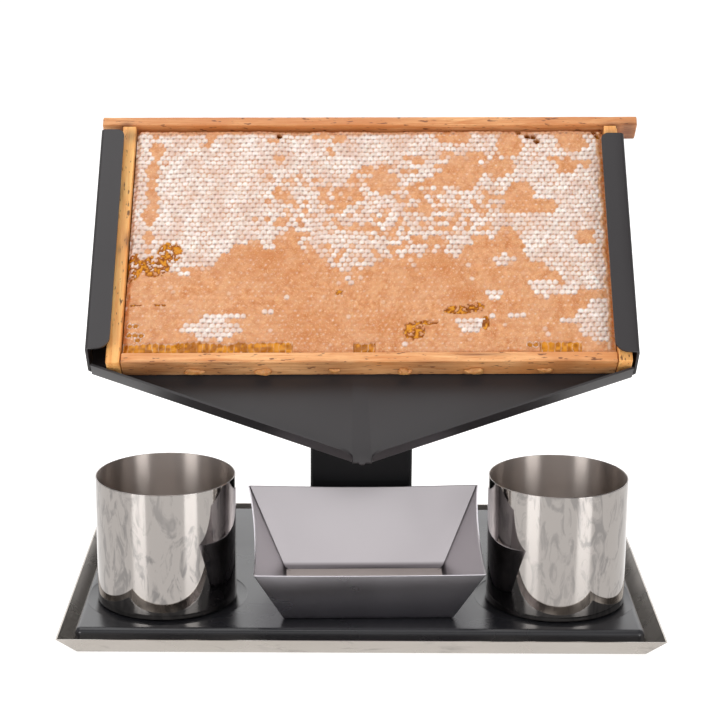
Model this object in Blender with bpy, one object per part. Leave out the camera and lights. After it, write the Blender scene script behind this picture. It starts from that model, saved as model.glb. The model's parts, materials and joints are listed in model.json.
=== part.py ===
"""Comb serving stand: a leaning sheet-steel holder carries one frame of honeycomb over a deck,
with a drip bowl under its tip and a steel cup on each side, all standing in a shallow drip tray.

X is to the right, Y to the back and Z up. The origin is the centre of the tray's underside.
"""
import math

import bmesh
import bpy
from mathutils import Matrix, Vector

MM = 0.001
GAP = 0.3 * MM                      # between pieces that touch
CUT = 5.0 * MM                      # how far a cutter runs past the face it cuts

# Drip tray: a flat floor with four walls that flare outwards
TRAY_WIDTH = 490.0 * MM
TRAY_DEPTH = 338.0 * MM
TRAY_HEIGHT = 16.5 * MM
TRAY_FLARE = 15.0 * MM              # how far a wall leans out over its height
TRAY_SHEET = 1.2 * MM

# Deck: a folded pan, open below, that stands in the tray on rubber feet
DECK_WIDTH = 461.5 * MM
DECK_DEPTH = 301.5 * MM
DECK_X = -1.2 * MM                  # its middle, a little to the left of the tray's
DECK_Y = 0.2 * MM                   # and a hair to the back
DECK_TOP = 18.2 * MM                # height of its top face
DECK_BOTTOM = 5.4 * MM
DECK_SHEET = 3.0 * MM
DECK_EDGE_RADIUS = 5.0 * MM
FOOT_RADIUS = 12.0 * MM
FOOT_INSET = 32.0 * MM              # foot centre from the deck's edges

# Cups and the shallow round recesses that place them
CUP_RADIUS = 58.0 * MM
CUP_HEIGHT = 107.5 * MM
CUP_SHEET = 1.0 * MM
CUP_BASE_RADIUS = 2.0 * MM          # between its wall and its base
CUP_X = 163.0 * MM
CUP_Y = -74.5 * MM
RECESS_RADIUS = 67.0 * MM
RECESS_DEPTH = 0.6 * MM
ROUND_SEGMENTS = 96

# Drip bowl: a four-sided bowl whose rim slopes down to the front
BOWL_X = 6.2 * MM
BOWL_BASE_WIDTH = 139.0 * MM
BOWL_BASE_FRONT = -125.5 * MM
BOWL_BASE_BACK = -12.5 * MM
BOWL_FLARE = 0.48                   # outward run for each unit of height, at its back corners
BOWL_FRONT_FLARE = 0.515            # and at its front corners
BOWL_YAW = math.radians(1.6)        # it stands a little askew
BOWL_FRONT_HEIGHT = 46.8 * MM
BOWL_BACK_HEIGHT = 66.8 * MM
BOWL_SHEET = 1.2 * MM

# Column: a rectangular tube behind the bowl
COLUMN_WIDTH = 90.0 * MM
COLUMN_DEPTH = 60.0 * MM
COLUMN_FRONT = 32.0 * MM
COLUMN_WALL = 2.5 * MM
COLUMN_CORNER = 5.0 * MM
COLUMN_BASE = 5.0 * MM              # thickness of its welded floor
COLUMN_SCREW_X = 28.0 * MM
COLUMN_SCREW_Y = 16.0 * MM
BACKING_WIDTH = 130.0 * MM
BACKING_DEPTH = 96.0 * MM
BACKING_THICKNESS = 4.0 * MM

# Holder: one folded sheet. Its own axes are x to the right, s up the back plate, n out of its front
LEAN = math.radians(44.0)           # of the back plate from the vertical
HOLDER_Y = 1.0 * MM                 # where the plate's outer lower corners lie
HOLDER_Z = 190.5 * MM
HOLDER_WIDTH = 470.0 * MM
HOLDER_SHEET = 2.0 * MM
PLATE_TOP = 233.0 * MM
V_DROP = 86.8 * MM                  # the V's tip below the outer corners
TIP_HALF = 8.5 * MM                 # half the gap between the gutters at the tip
NOSE_HALF = 2.6 * MM
NOSE_DROP = 1.6 * MM
CHANNEL_DEPTH = 33.0 * MM
FLANGE_WIDTH = 20.7 * MM
FLANGE_BOTTOM = 6.4 * MM
FLANGE_TOP_RADIUS = 6.5 * MM
FLANGE_BOTTOM_RADIUS = 11.0 * MM
GUTTER_DEPTH = 16.5 * MM
GUTTER_TIP_RADIUS = 10.0 * MM

# Bracket between the column's mitred top and the holder
BRACKET_WIDTH = 150.0 * MM
BRACKET_BOTTOM = 38.0 * MM
BRACKET_TOP = 138.0 * MM
BRACKET_THICKNESS = 4.0 * MM
HOLDER_SCREW_X = 62.0 * MM
HOLDER_SCREW_INSET = 14.0 * MM      # from the bracket's lower and upper edges

# Comb frame, resting on the gutters' outer ends, pushed to the right and tilted with them
FRAME_WIDTH = 448.0 * MM
FRAME_HEIGHT = 255.0 * MM
FRAME_SHIFT = 6.0 * MM
FRAME_FOOT = -0.9 * MM              # the middle of its lower edge along s
FRAME_TILT = math.radians(0.6)
FRAME_RACK = 0.0135                 # how far the frame is racked to the right for each unit of height
TOP_BAR_LENGTH = 485.2 * MM
TOP_BAR_THICKNESS = 9.5 * MM
SIDE_BAR_THICKNESS = 12.5 * MM
BOTTOM_BAR_THICKNESS = 10.0 * MM
BAR_DEPTH = 24.0 * MM
BAR_BACK = 1.0 * MM                 # the bars' back faces in front of the plate
KERF_DEPTH = 3.0 * MM
COMB_FRONT_DEPTH = 8.0 * MM
COMB_BACK_DEPTH = 8.0 * MM
COMB_CLEARANCE = 3.0 * MM           # between the comb's rounded edges and the bars
FOUNDATION_THICKNESS = 0.8 * MM
NAIL_RADIUS = 0.8 * MM
NAIL_HEAD_RADIUS = 1.8 * MM
NAIL_LENGTH = 22.0 * MM
WAX_BEADS = 6


def clear_scene():
    for old in list(bpy.data.objects):
        bpy.data.objects.remove(old, do_unlink=True)


def make_material(name, colour, roughness, metallic):
    material = bpy.data.materials.new(name)
    material.use_nodes = True
    shader = material.node_tree.nodes["Principled BSDF"]
    shader.inputs["Base Color"].default_value = (*colour, 1.0)
    shader.inputs["Roughness"].default_value = roughness
    shader.inputs["Metallic"].default_value = metallic
    material.diffuse_color = (*colour, 1.0)
    return material


def make_object(name, shape, material, parent=None):
    """Turn a bmesh into a named object with outward faces, round parts shaded smooth."""
    bmesh.ops.recalc_face_normals(shape, faces=shape.faces)
    mesh = bpy.data.meshes.new(name)
    shape.to_mesh(mesh)
    shape.free()
    mesh.materials.append(material)
    mesh.shade_smooth()
    mesh.set_sharp_from_angle(angle=math.radians(35.0))
    thing = bpy.data.objects.new(name, mesh)
    bpy.context.collection.objects.link(thing)
    thing.parent = parent
    return thing


def add_prism(shape, outline, low, high, place=Matrix.Identity(4)):
    """Extrude a closed outline of (x, y) points from z = low to z = high."""
    lower = [shape.verts.new(place @ Vector((x, y, low))) for x, y in outline]
    upper = [shape.verts.new(place @ Vector((x, y, high))) for x, y in outline]
    shape.faces.new(list(reversed(lower)))
    shape.faces.new(upper)
    count = len(outline)
    for index in range(count):
        after = (index + 1) % count
        shape.faces.new((lower[index], lower[after], upper[after], upper[index]))


def rectangle(left, right, front, back):
    return [(left, front), (right, front), (right, back), (left, back)]


def add_box(shape, across, along, up, place=Matrix.Identity(4)):
    """A box from three (low, high) pairs."""
    add_prism(shape, rectangle(*across, *along), *up, place)


def arc(centre, radius, start, end, steps=6):
    """Points of an arc between two angles in degrees."""
    points = []
    for step in range(steps + 1):
        angle = math.radians(start + (end - start) * step / steps)
        points.append((centre[0] + radius * math.cos(angle), centre[1] + radius * math.sin(angle)))
    return points


def rounded_rectangle(left, right, front, back, radius):
    corners = ((right - radius, front + radius, -90.0), (right - radius, back - radius, 0.0),
               (left + radius, back - radius, 90.0), (left + radius, front + radius, 180.0))
    points = []
    for x, y, start in corners:
        points += arc((x, y), radius, start, start + 90.0)
    return points


def circle(centre, radius, segments=24):
    return arc(centre, radius, 0.0, 360.0, segments)[:-1]


def add_turned(shape, profile, segments, place=Matrix.Identity(4)):
    """Turn (radius, z) points around z. The profile starts and ends on the axis."""
    rings = []
    for radius, z in profile[1:-1]:
        outline = circle((0.0, 0.0), radius, segments)
        rings.append([shape.verts.new(place @ Vector((x, y, z))) for x, y in outline])
    first = shape.verts.new(place @ Vector((0.0, 0.0, profile[0][1])))
    last = shape.verts.new(place @ Vector((0.0, 0.0, profile[-1][1])))
    for index in range(segments):
        after = (index + 1) % segments
        shape.faces.new((first, rings[0][after], rings[0][index]))
        shape.faces.new((last, rings[-1][index], rings[-1][after]))
        for lower, upper in zip(rings, rings[1:]):
            shape.faces.new((lower[index], lower[after], upper[after], upper[index]))


def place_copies(name, shape, material, places, parent=None):
    """One object for each place, all sharing one mesh. A place is a matrix in the parent's axes."""
    first = make_object(name + "_1", shape, material, parent)
    first.matrix_basis = places[0]
    for number, place in enumerate(places[1:], 2):
        copy = bpy.data.objects.new(f"{name}_{number}", first.data)
        bpy.context.collection.objects.link(copy)
        copy.parent = parent
        copy.matrix_basis = place


def combine(thing, other_shape, operation):
    """Cut or join a bmesh in the object's own axes, and keep the result as the object's mesh."""
    other = make_object("tool", other_shape, thing.data.materials[0])
    other.matrix_basis = Matrix.Identity(4)
    keep_parent = thing.parent
    thing.parent = None
    modifier = thing.modifiers.new("Boolean", "BOOLEAN")
    modifier.operation = operation
    modifier.solver = "EXACT"
    modifier.object = other
    bpy.context.view_layer.update()
    result = bpy.data.meshes.new_from_object(thing.evaluated_get(bpy.context.evaluated_depsgraph_get()))
    thing.modifiers.clear()
    thing.data = result
    thing.parent = keep_parent
    bpy.data.objects.remove(other, do_unlink=True)
    result.set_sharp_from_angle(angle=math.radians(35.0))


def shell_between(shape, outer_base, outer_rim, inner_rim, inner_base):
    """A four-sided open vessel from its outer base, outer rim, inner rim and inner base corners."""
    loops = [[shape.verts.new(corner) for corner in loop]
             for loop in (outer_base, outer_rim, inner_rim, inner_base)]
    shape.faces.new(loops[0])
    shape.faces.new(loops[-1])
    for lower, upper in zip(loops, loops[1:]):
        for index in range(4):
            after = (index + 1) % 4
            shape.faces.new((lower[index], lower[after], upper[after], upper[index]))


def level_corners(half_width, half_depth, z):
    return [(x, y, z) for x, y in rectangle(-half_width, half_width, -half_depth, half_depth)]


def make_tray(steel):
    shape = bmesh.new()
    width, depth = TRAY_WIDTH / 2.0, TRAY_DEPTH / 2.0
    slope = TRAY_FLARE / TRAY_HEIGHT
    wall = TRAY_SHEET * math.hypot(1.0, slope)
    floor = TRAY_FLARE + wall - slope * TRAY_SHEET
    shell_between(shape, level_corners(width - TRAY_FLARE, depth - TRAY_FLARE, 0.0),
                  level_corners(width, depth, TRAY_HEIGHT),
                  level_corners(width - wall, depth - wall, TRAY_HEIGHT),
                  level_corners(width - floor, depth - floor, TRAY_SHEET))
    make_object("drip_tray", shape, steel)


def column_screw_places():
    middle = COLUMN_FRONT + COLUMN_DEPTH / 2.0
    return [(x, middle + y) for x in (-COLUMN_SCREW_X, COLUMN_SCREW_X)
            for y in (-COLUMN_SCREW_Y, COLUMN_SCREW_Y)]


def make_deck(black):
    shape = bmesh.new()
    width, depth = DECK_WIDTH / 2.0, DECK_DEPTH / 2.0
    levels = [(0.0, DECK_BOTTOM), (0.0, DECK_TOP - DECK_EDGE_RADIUS)]
    for step in range(1, 6):
        angle = math.radians(90.0 * step / 5)
        inset = DECK_EDGE_RADIUS * (1.0 - math.cos(angle))
        levels.append((inset, DECK_TOP - DECK_EDGE_RADIUS * (1.0 - math.sin(angle))))
    rings = []
    for inset, z in levels:
        radius = DECK_EDGE_RADIUS + 1.0 * MM - inset
        outline = rounded_rectangle(DECK_X + inset - width, DECK_X + width - inset, DECK_Y + inset - depth,
                                    DECK_Y + depth - inset, radius)
        rings.append([shape.verts.new((x, y, z)) for x, y in outline])
    shape.faces.new(list(reversed(rings[0])))
    shape.faces.new(rings[-1])
    count = len(rings[0])
    for lower, upper in zip(rings, rings[1:]):
        for index in range(count):
            after = (index + 1) % count
            shape.faces.new((lower[index], lower[after], upper[after], upper[index]))
    deck = make_object("deck", shape, black)

    cutter = bmesh.new()
    width, depth = width - DECK_SHEET, depth - DECK_SHEET
    pocket = rounded_rectangle(DECK_X - width, DECK_X + width, DECK_Y - depth, DECK_Y + depth,
                               DECK_EDGE_RADIUS / 2.0)
    add_prism(cutter, pocket, DECK_BOTTOM - CUT, DECK_TOP - DECK_SHEET)
    combine(deck, cutter, "DIFFERENCE")
    cutter = bmesh.new()
    for side in (-1.0, 1.0):
        recess = circle((side * CUP_X, CUP_Y), RECESS_RADIUS, ROUND_SEGMENTS)
        add_prism(cutter, recess, DECK_TOP - RECESS_DEPTH, DECK_TOP + CUT)
    for place in column_screw_places():
        add_prism(cutter, circle(place, 3.4 * MM), DECK_BOTTOM - CUT, DECK_TOP + CUT)
    combine(deck, cutter, "DIFFERENCE")


def make_deck_feet(rubber):
    low = TRAY_SHEET + GAP
    height = DECK_TOP - DECK_SHEET - GAP - low
    profile = [(0.0, 0.0), (FOOT_RADIUS - 1.5 * MM, 0.0), (FOOT_RADIUS, 1.5 * MM), (FOOT_RADIUS, height),
               (0.0, height)]
    shape = bmesh.new()
    add_turned(shape, profile, 32)
    across, along = DECK_WIDTH / 2.0 - FOOT_INSET, DECK_DEPTH / 2.0 - FOOT_INSET
    places = [Matrix.Translation((DECK_X + x, DECK_Y + y, low))
              for x in (-across, across) for y in (-along, along)]
    place_copies("deck_foot", shape, rubber, places)


def make_backing_plate(steel):
    shape = bmesh.new()
    top = DECK_TOP - DECK_SHEET - GAP
    middle = COLUMN_FRONT + COLUMN_DEPTH / 2.0
    outline = rounded_rectangle(-BACKING_WIDTH / 2.0, BACKING_WIDTH / 2.0,
                                middle - BACKING_DEPTH / 2.0, middle + BACKING_DEPTH / 2.0, 6.0 * MM)
    add_prism(shape, outline, top - BACKING_THICKNESS, top)
    plate = make_object("deck_backing_plate", shape, steel)
    cutter = bmesh.new()
    for place in column_screw_places():
        add_prism(cutter, circle(place, 3.4 * MM), top - BACKING_THICKNESS - CUT, top + CUT)
    combine(plate, cutter, "DIFFERENCE")


def make_column_screws(steel):
    shape = bmesh.new()
    head = DECK_TOP - DECK_SHEET - 2.0 * GAP - BACKING_THICKNESS
    tip = DECK_TOP + GAP + COLUMN_BASE - 1.0 * MM
    profile = [(0.0, head - 3.2 * MM), (4.0 * MM, head - 3.2 * MM), (5.3 * MM, head - 1.6 * MM),
               (5.3 * MM, head), (3.0 * MM, head), (3.0 * MM, tip), (0.0, tip)]
    add_turned(shape, profile, 24)
    places = [Matrix.Translation((x, y, 0.0)) for x, y in column_screw_places()]
    place_copies("column_screw", shape, steel, places)


def holder_place():
    """The holder's own axes in the world: x, s up the plate and n out of its front."""
    turn = Matrix.Rotation(math.pi / 2.0 - LEAN, 4, "X")
    return Matrix.Translation((0.0, HOLDER_Y, HOLDER_Z)) @ turn


def bracket_back():
    return -HOLDER_SHEET - GAP - BRACKET_THICKNESS


def make_column(black):
    """A tube with a welded floor, cut at the top to meet the bracket's back face."""
    shape = bmesh.new()
    back = COLUMN_FRONT + COLUMN_DEPTH
    low = DECK_TOP + GAP
    high = low + 400.0 * MM
    half = COLUMN_WIDTH / 2.0
    add_prism(shape, rounded_rectangle(-half, half, COLUMN_FRONT, back, COLUMN_CORNER), low, high)
    column = make_object("column", shape, black)

    cutter = bmesh.new()
    inner = (COLUMN_WALL - half, half - COLUMN_WALL, COLUMN_FRONT + COLUMN_WALL, back - COLUMN_WALL)
    add_prism(cutter, rounded_rectangle(*inner, COLUMN_CORNER - COLUMN_WALL), low + COLUMN_BASE, high + CUT)
    combine(column, cutter, "DIFFERENCE")

    cutter = bmesh.new()
    add_box(cutter, (-COLUMN_WIDTH, COLUMN_WIDTH), (-300.0 * MM, 600.0 * MM),
            (bracket_back() - GAP, 500.0 * MM), holder_place())
    combine(column, cutter, "DIFFERENCE")

    cutter = bmesh.new()
    for place in column_screw_places():
        add_prism(cutter, circle(place, 3.3 * MM), low - CUT, low + COLUMN_BASE + CUT)
    combine(column, cutter, "DIFFERENCE")


def holder_screw_places():
    levels = (BRACKET_BOTTOM + HOLDER_SCREW_INSET, BRACKET_TOP - HOLDER_SCREW_INSET)
    return [(x, s) for x in (-HOLDER_SCREW_X, HOLDER_SCREW_X) for s in levels]


def make_bracket(black, plane):
    shape = bmesh.new()
    half = BRACKET_WIDTH / 2.0
    outline = rounded_rectangle(-half, half, BRACKET_BOTTOM, BRACKET_TOP, 8.0 * MM)
    add_prism(shape, outline, bracket_back(), -HOLDER_SHEET - GAP)
    bracket = make_object("head_bracket", shape, black, plane)
    cutter = bmesh.new()
    for place in holder_screw_places():
        add_prism(cutter, circle(place, 2.8 * MM), bracket_back() - CUT, CUT)
    combine(bracket, cutter, "DIFFERENCE")


def v_edge(x):
    """Height along s of the V's fold at a distance x from the middle."""
    return -V_DROP * (1.0 - abs(x) / (HOLDER_WIDTH / 2.0))


def add_gutter(shape, side):
    """The flange folded forward along one arm of the V, its free corner rounded at the tip."""
    outer = Vector((side * (HOLDER_WIDTH / 2.0 - 0.5 * MM), v_edge(HOLDER_WIDTH / 2.0 - 0.5 * MM), 0.0))
    tip = Vector((side * TIP_HALF, v_edge(TIP_HALF), 0.0))
    along = (tip - outer).normalized()
    out = Vector((0.0, 0.0, 1.0))
    inward = along.cross(out) * side
    place = Matrix.Translation(outer) @ Matrix((along, out, inward)).transposed().to_4x4()
    length = (tip - outer).length
    radius = GUTTER_TIP_RADIUS
    outline = [(0.0, -HOLDER_SHEET), (length, -HOLDER_SHEET)]
    outline += arc((length - radius, GUTTER_DEPTH - radius), radius, 0.0, 90.0)
    outline += [(0.0, GUTTER_DEPTH)]
    add_prism(shape, outline, 0.0, HOLDER_SHEET, place)


def holder_wall(side):
    """A side wall, drawn in (s, n) and extruded along x."""
    shape = bmesh.new()
    outline = [(PLATE_TOP, -HOLDER_SHEET), (PLATE_TOP, CHANNEL_DEPTH), (FLANGE_BOTTOM, CHANNEL_DEPTH),
               (2.6 * MM, GUTTER_DEPTH), (2.2 * MM, -HOLDER_SHEET)]
    place = Matrix(((0.0, 0.0, 1.0, 0.0), (1.0, 0.0, 0.0, 0.0), (0.0, 1.0, 0.0, 0.0), (0.0, 0.0, 0.0, 1.0)))
    faces = sorted((side * HOLDER_WIDTH / 2.0, side * (HOLDER_WIDTH / 2.0 - HOLDER_SHEET)))
    add_prism(shape, outline, *faces, place)
    return shape


def holder_flange(side):
    """A front flange with two rounded free corners."""
    outer = HOLDER_WIDTH / 2.0
    inner = outer - FLANGE_WIDTH
    low, high = FLANGE_BOTTOM, PLATE_TOP - 1.0 * MM
    points = [(outer, low), (outer, high)]
    points += arc((inner + FLANGE_TOP_RADIUS, high - FLANGE_TOP_RADIUS), FLANGE_TOP_RADIUS, 90.0, 180.0)
    points += arc((inner + FLANGE_BOTTOM_RADIUS, low + FLANGE_BOTTOM_RADIUS), FLANGE_BOTTOM_RADIUS,
                  180.0, 270.0)
    shape = bmesh.new()
    add_prism(shape, [(side * x, s) for x, s in points], CHANNEL_DEPTH - HOLDER_SHEET, CHANNEL_DEPTH)
    return shape


def make_holder(black, plane):
    half = HOLDER_WIDTH / 2.0
    tip = v_edge(TIP_HALF)
    nose = [(NOSE_HALF * math.cos(math.radians(a)), tip - NOSE_DROP * math.sin(math.radians(a)))
            for a in range(0, 181, 30)]
    outline = [(half, PLATE_TOP), (half, 0.0), (TIP_HALF, tip)] + nose
    outline += [(-TIP_HALF, tip), (-half, 0.0), (-half, PLATE_TOP)]
    shape = bmesh.new()
    add_prism(shape, outline, -HOLDER_SHEET, 0.0)
    holder = make_object("comb_holder", shape, black, plane)
    for side in (-1.0, 1.0):
        combine(holder, holder_wall(side), "UNION")
        combine(holder, holder_flange(side), "UNION")
        gutter = bmesh.new()
        add_gutter(gutter, side)
        combine(holder, gutter, "UNION")

    cutter = bmesh.new()
    for x, s in holder_screw_places():
        profile = [(0.0, 0.1 * MM), (5.1 * MM, 0.1 * MM), (2.8 * MM, -HOLDER_SHEET), (2.8 * MM, -2.0 * CUT),
                   (0.0, -2.0 * CUT)]
        add_turned(cutter, profile, 24, Matrix.Translation((x, s, 0.0)))
    combine(holder, cutter, "DIFFERENCE")


def ring_shape(radius, sides, low, high):
    """A washer or a nut: a prism with a clearance hole for the screw, as quads between two outlines."""
    hole = circle((0.0, 0.0), 2.6 * MM, 24)
    outer = []
    for x, y in hole:
        angle = math.atan2(y, x) % (2.0 * math.pi / sides) - math.pi / sides
        reach = radius * math.cos(math.pi / sides) / math.cos(angle) / math.hypot(x, y)
        outer.append((x * reach, y * reach))
    shape = bmesh.new()
    loops = [[shape.verts.new((x, y, z)) for x, y in line]
             for line, z in ((outer, low), (outer, high), (hole, high), (hole, low))]
    for loop, following in zip(loops, loops[1:] + loops[:1]):
        for index in range(len(hole)):
            after = (index + 1) % len(hole)
            shape.faces.new((loop[index], loop[after], following[after], following[index]))
    return shape


def make_holder_fasteners(steel, plane):
    back = bracket_back() - GAP
    washer = 1.0 * MM
    nut = 3.2 * MM
    end = back - washer - GAP - nut - 1.5 * MM
    places = [Matrix.Translation((x, s, 0.0)) for x, s in holder_screw_places()]
    screw = bmesh.new()
    add_turned(screw, [(0.0, -0.15 * MM), (4.5 * MM, -0.15 * MM), (2.3 * MM, -HOLDER_SHEET), (2.3 * MM, end),
                       (0.0, end)], 24)
    place_copies("holder_screw", screw, steel, places, plane)
    place_copies("holder_washer", ring_shape(5.0 * MM, 24, back - washer, back), steel, places, plane)
    top = back - washer - GAP
    place_copies("holder_nut", ring_shape(4.6 * MM, 6, top - nut, top), steel, places, plane)


def bar_span():
    return BAR_BACK, BAR_BACK + BAR_DEPTH


def foundation_span():
    middle = BAR_BACK + BAR_DEPTH / 2.0
    return middle - FOUNDATION_THICKNESS / 2.0, middle + FOUNDATION_THICKNESS / 2.0


def rack(shape):
    """Lean a square-drawn part of the wooden frame to the right, as the frame has racked."""
    for vertex in shape.verts:
        vertex.co.x += FRAME_RACK * vertex.co.y


def nail_places():
    """Each nail as (point on the surface, direction it is driven in), in the frame's axes."""
    places = []
    side = FRAME_WIDTH / 2.0
    for sign in (-1.0, 1.0):
        for n in (BAR_BACK + BAR_DEPTH * 0.28, BAR_BACK + BAR_DEPTH * 0.72):
            x = sign * (side - SIDE_BAR_THICKNESS / 2.0)
            top = Vector((x + FRAME_RACK * FRAME_HEIGHT, FRAME_HEIGHT, n))
            places.append((top, Vector((0.0, -1.0, 0.0))))
            places.append((Vector((sign * side, BOTTOM_BAR_THICKNESS / 2.0, n)), Vector((-sign, 0.0, 0.0))))
    return places


def nail_matrices():
    return [Matrix.Translation(point) @ direction.to_track_quat("Z", "Y").to_matrix().to_4x4()
            for point, direction in nail_places()]


def nail_shape(grow, places):
    """A nail at each place, or with grow above zero, the hole that it lies in."""
    shape = bmesh.new()
    top = 0.1 * MM - grow * 4.0
    profile = [(0.0, top), (NAIL_HEAD_RADIUS + grow, top), (NAIL_HEAD_RADIUS + grow, 0.9 * MM + grow),
               (NAIL_RADIUS + grow, 0.9 * MM + grow), (NAIL_RADIUS + grow, NAIL_LENGTH + grow),
               (0.0, NAIL_LENGTH + grow)]
    for place in places:
        add_turned(shape, profile, 12, place)
    return shape


def make_bar(name, across, along, wood, frame, groove=None):
    shape = bmesh.new()
    add_box(shape, across, along, bar_span())
    rack(shape)
    bar = make_object(name, shape, wood, frame)
    combine(bar, nail_shape(GAP, nail_matrices()), "DIFFERENCE")
    if groove:
        cutter = bmesh.new()
        low, high = foundation_span()
        add_box(cutter, *groove, (low - GAP, high + GAP))
        rack(cutter)
        combine(bar, cutter, "DIFFERENCE")


def make_frame(wood, wax, capping, steel, frame):
    side = FRAME_WIDTH / 2.0
    inside = side - SIDE_BAR_THICKNESS
    shoulder = FRAME_HEIGHT - TOP_BAR_THICKNESS
    kerf = ((GAP - inside, inside - GAP), (shoulder - CUT, shoulder + KERF_DEPTH))
    lug = TOP_BAR_LENGTH / 2.0
    make_bar("top_bar", (-lug, lug), (shoulder, FRAME_HEIGHT), wood, frame, kerf)
    make_bar("left_side_bar", (-side, -inside), (0.0, shoulder - GAP), wood, frame)
    make_bar("right_side_bar", (inside, side), (0.0, shoulder - GAP), wood, frame)
    make_bar("bottom_bar", (GAP - inside, inside - GAP), (0.0, BOTTOM_BAR_THICKNESS), wood, frame)
    place_copies("frame_nail", nail_shape(0.0, [Matrix.Identity(4)]), steel, nail_matrices(), frame)

    low, high = foundation_span()
    shape = bmesh.new()
    add_box(shape, (3.0 * GAP - inside, inside - 3.0 * GAP),
            (BOTTOM_BAR_THICKNESS + GAP, shoulder + KERF_DEPTH - GAP), (low, high))
    rack(shape)
    make_object("foundation", shape, wax, frame)
    edge = inside - GAP - 0.2 * MM
    span = (BOTTOM_BAR_THICKNESS + GAP, shoulder - COMB_CLEARANCE)
    for name, near, far in (("comb_front", high + GAP, high + COMB_FRONT_DEPTH),
                            ("comb_back", low - COMB_BACK_DEPTH, low - GAP)):
        shape = bmesh.new()
        add_box(shape, (-edge, edge), span, (near, far))
        rack(shape)
        make_object(name, shape, capping, frame)


def make_wax_beads(wax, frame):
    """Beads of wax hanging under the bottom bar, where the bees built it out."""
    inside = FRAME_WIDTH / 2.0 - SIDE_BAR_THICKNESS
    for index in range(WAX_BEADS):
        x = (index + 0.5 - WAX_BEADS / 2.0) * 1.7 * inside / WAX_BEADS
        length = (3.4 + 1.2 * math.sin(index * 2.3)) * MM
        width = (26.0 + 8.0 * math.sin(index * 1.7 + 1.0)) * MM
        profile = [(0.0, GAP), (1.0, GAP), (0.86, GAP + 0.55 * length), (0.45, GAP + 0.9 * length),
                   (0.0, GAP + length)]
        place = Matrix.Translation((x, 0.0, BAR_BACK + 9.0 * MM)) @ Matrix.Rotation(math.pi / 2.0, 4, "X")
        stretch = Matrix.Diagonal((width / 2.0, 4.2 * MM, 1.0, 1.0))
        shape = bmesh.new()
        add_turned(shape, profile, 16, place @ stretch)
        make_object(f"wax_bead_{index + 1}", shape, wax, frame)


def bowl_corners(inset, front, back, front_height, back_height, base):
    """The corners of the bowl's walls at the two heights, moved in from its outer face by inset."""
    half = BOWL_BASE_WIDTH / 2.0 - inset
    middle = (BOWL_BASE_FRONT + BOWL_BASE_BACK) / 2.0
    turn = Matrix.Translation((BOWL_X, middle, 0.0)) @ Matrix.Rotation(BOWL_YAW, 4, "Z")
    corners = []
    for sign, y, height in ((-1.0, front, front_height), (1.0, front, front_height),
                            (1.0, back, back_height), (-1.0, back, back_height)):
        run = (BOWL_FRONT_FLARE if y == front else BOWL_FLARE) * height
        away = -run if y == front else run
        corners.append(turn @ Vector((sign * (half + run), y + away - middle, base + height)))
    return corners


def make_bowl(steel):
    shape = bmesh.new()
    base = DECK_TOP + GAP
    wall = BOWL_SHEET * math.hypot(1.0, BOWL_FLARE)
    outer = (0.0, BOWL_BASE_FRONT, BOWL_BASE_BACK)
    inner = (wall, BOWL_BASE_FRONT + wall, BOWL_BASE_BACK - wall)
    shell_between(shape, bowl_corners(*outer, 0.0, 0.0, base),
                  bowl_corners(*outer, BOWL_FRONT_HEIGHT, BOWL_BACK_HEIGHT, base),
                  bowl_corners(*inner, BOWL_FRONT_HEIGHT, BOWL_BACK_HEIGHT, base),
                  bowl_corners(*inner, BOWL_SHEET, BOWL_SHEET, base))
    make_object("drip_bowl", shape, steel)


def make_cups(steel):
    low = DECK_TOP - RECESS_DEPTH + GAP
    high = low + CUP_HEIGHT
    inner = CUP_RADIUS - CUP_SHEET
    turn = CUP_RADIUS - CUP_BASE_RADIUS
    outside = arc((turn, low + CUP_BASE_RADIUS), CUP_BASE_RADIUS, -90.0, 0.0, 4)
    inside = arc((turn, low + CUP_BASE_RADIUS), CUP_BASE_RADIUS - CUP_SHEET, 0.0, -90.0, 4)
    profile = [(0.0, low)] + outside + [(CUP_RADIUS, high), (inner, high)] + inside + [(0.0, low + CUP_SHEET)]
    for name, side in (("left_cup", -1.0), ("right_cup", 1.0)):
        shape = bmesh.new()
        add_turned(shape, profile, ROUND_SEGMENTS)
        cup = make_object(name, shape, steel)
        cup.location = (side * CUP_X, CUP_Y, 0.0)


def make_empty(name, parent=None):
    empty = bpy.data.objects.new(name, None)
    bpy.context.collection.objects.link(empty)
    empty.parent = parent
    return empty


def main():
    clear_scene()
    polished = make_material("polished_steel", (0.78, 0.76, 0.74), 0.12, 1.0)
    satin = make_material("satin_steel", (0.66, 0.64, 0.64), 0.3, 1.0)
    black = make_material("black_coat", (0.03, 0.03, 0.034), 0.42, 0.0)
    column_black = make_material("column_coat", (0.018, 0.018, 0.02), 0.5, 0.0)
    fastener = make_material("fastener_steel", (0.6, 0.6, 0.6), 0.35, 1.0)
    rubber = make_material("foot_rubber", (0.02, 0.02, 0.02), 0.8, 0.0)
    pine = make_material("pine", (0.62, 0.35, 0.15), 0.6, 0.0)
    wax = make_material("beeswax", (0.72, 0.5, 0.2), 0.5, 0.0)
    capping = make_material("capped_comb", (0.75, 0.55, 0.35), 0.55, 0.0)

    plane = make_empty("holder_plane")
    plane.matrix_world = holder_place()
    frame = make_empty("comb_frame", plane)
    frame.location = (FRAME_SHIFT, FRAME_FOOT, 0.0)
    frame.rotation_euler = (0.0, 0.0, FRAME_TILT)

    make_tray(polished)
    make_deck(black)
    make_deck_feet(rubber)
    make_backing_plate(fastener)
    make_column_screws(fastener)
    make_column(column_black)
    make_bracket(column_black, plane)
    make_holder(black, plane)
    make_holder_fasteners(fastener, plane)
    make_frame(pine, wax, capping, fastener, frame)
    make_wax_beads(wax, frame)
    make_bowl(satin)
    make_cups(polished)
    bpy.context.view_layer.update()


main()
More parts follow.
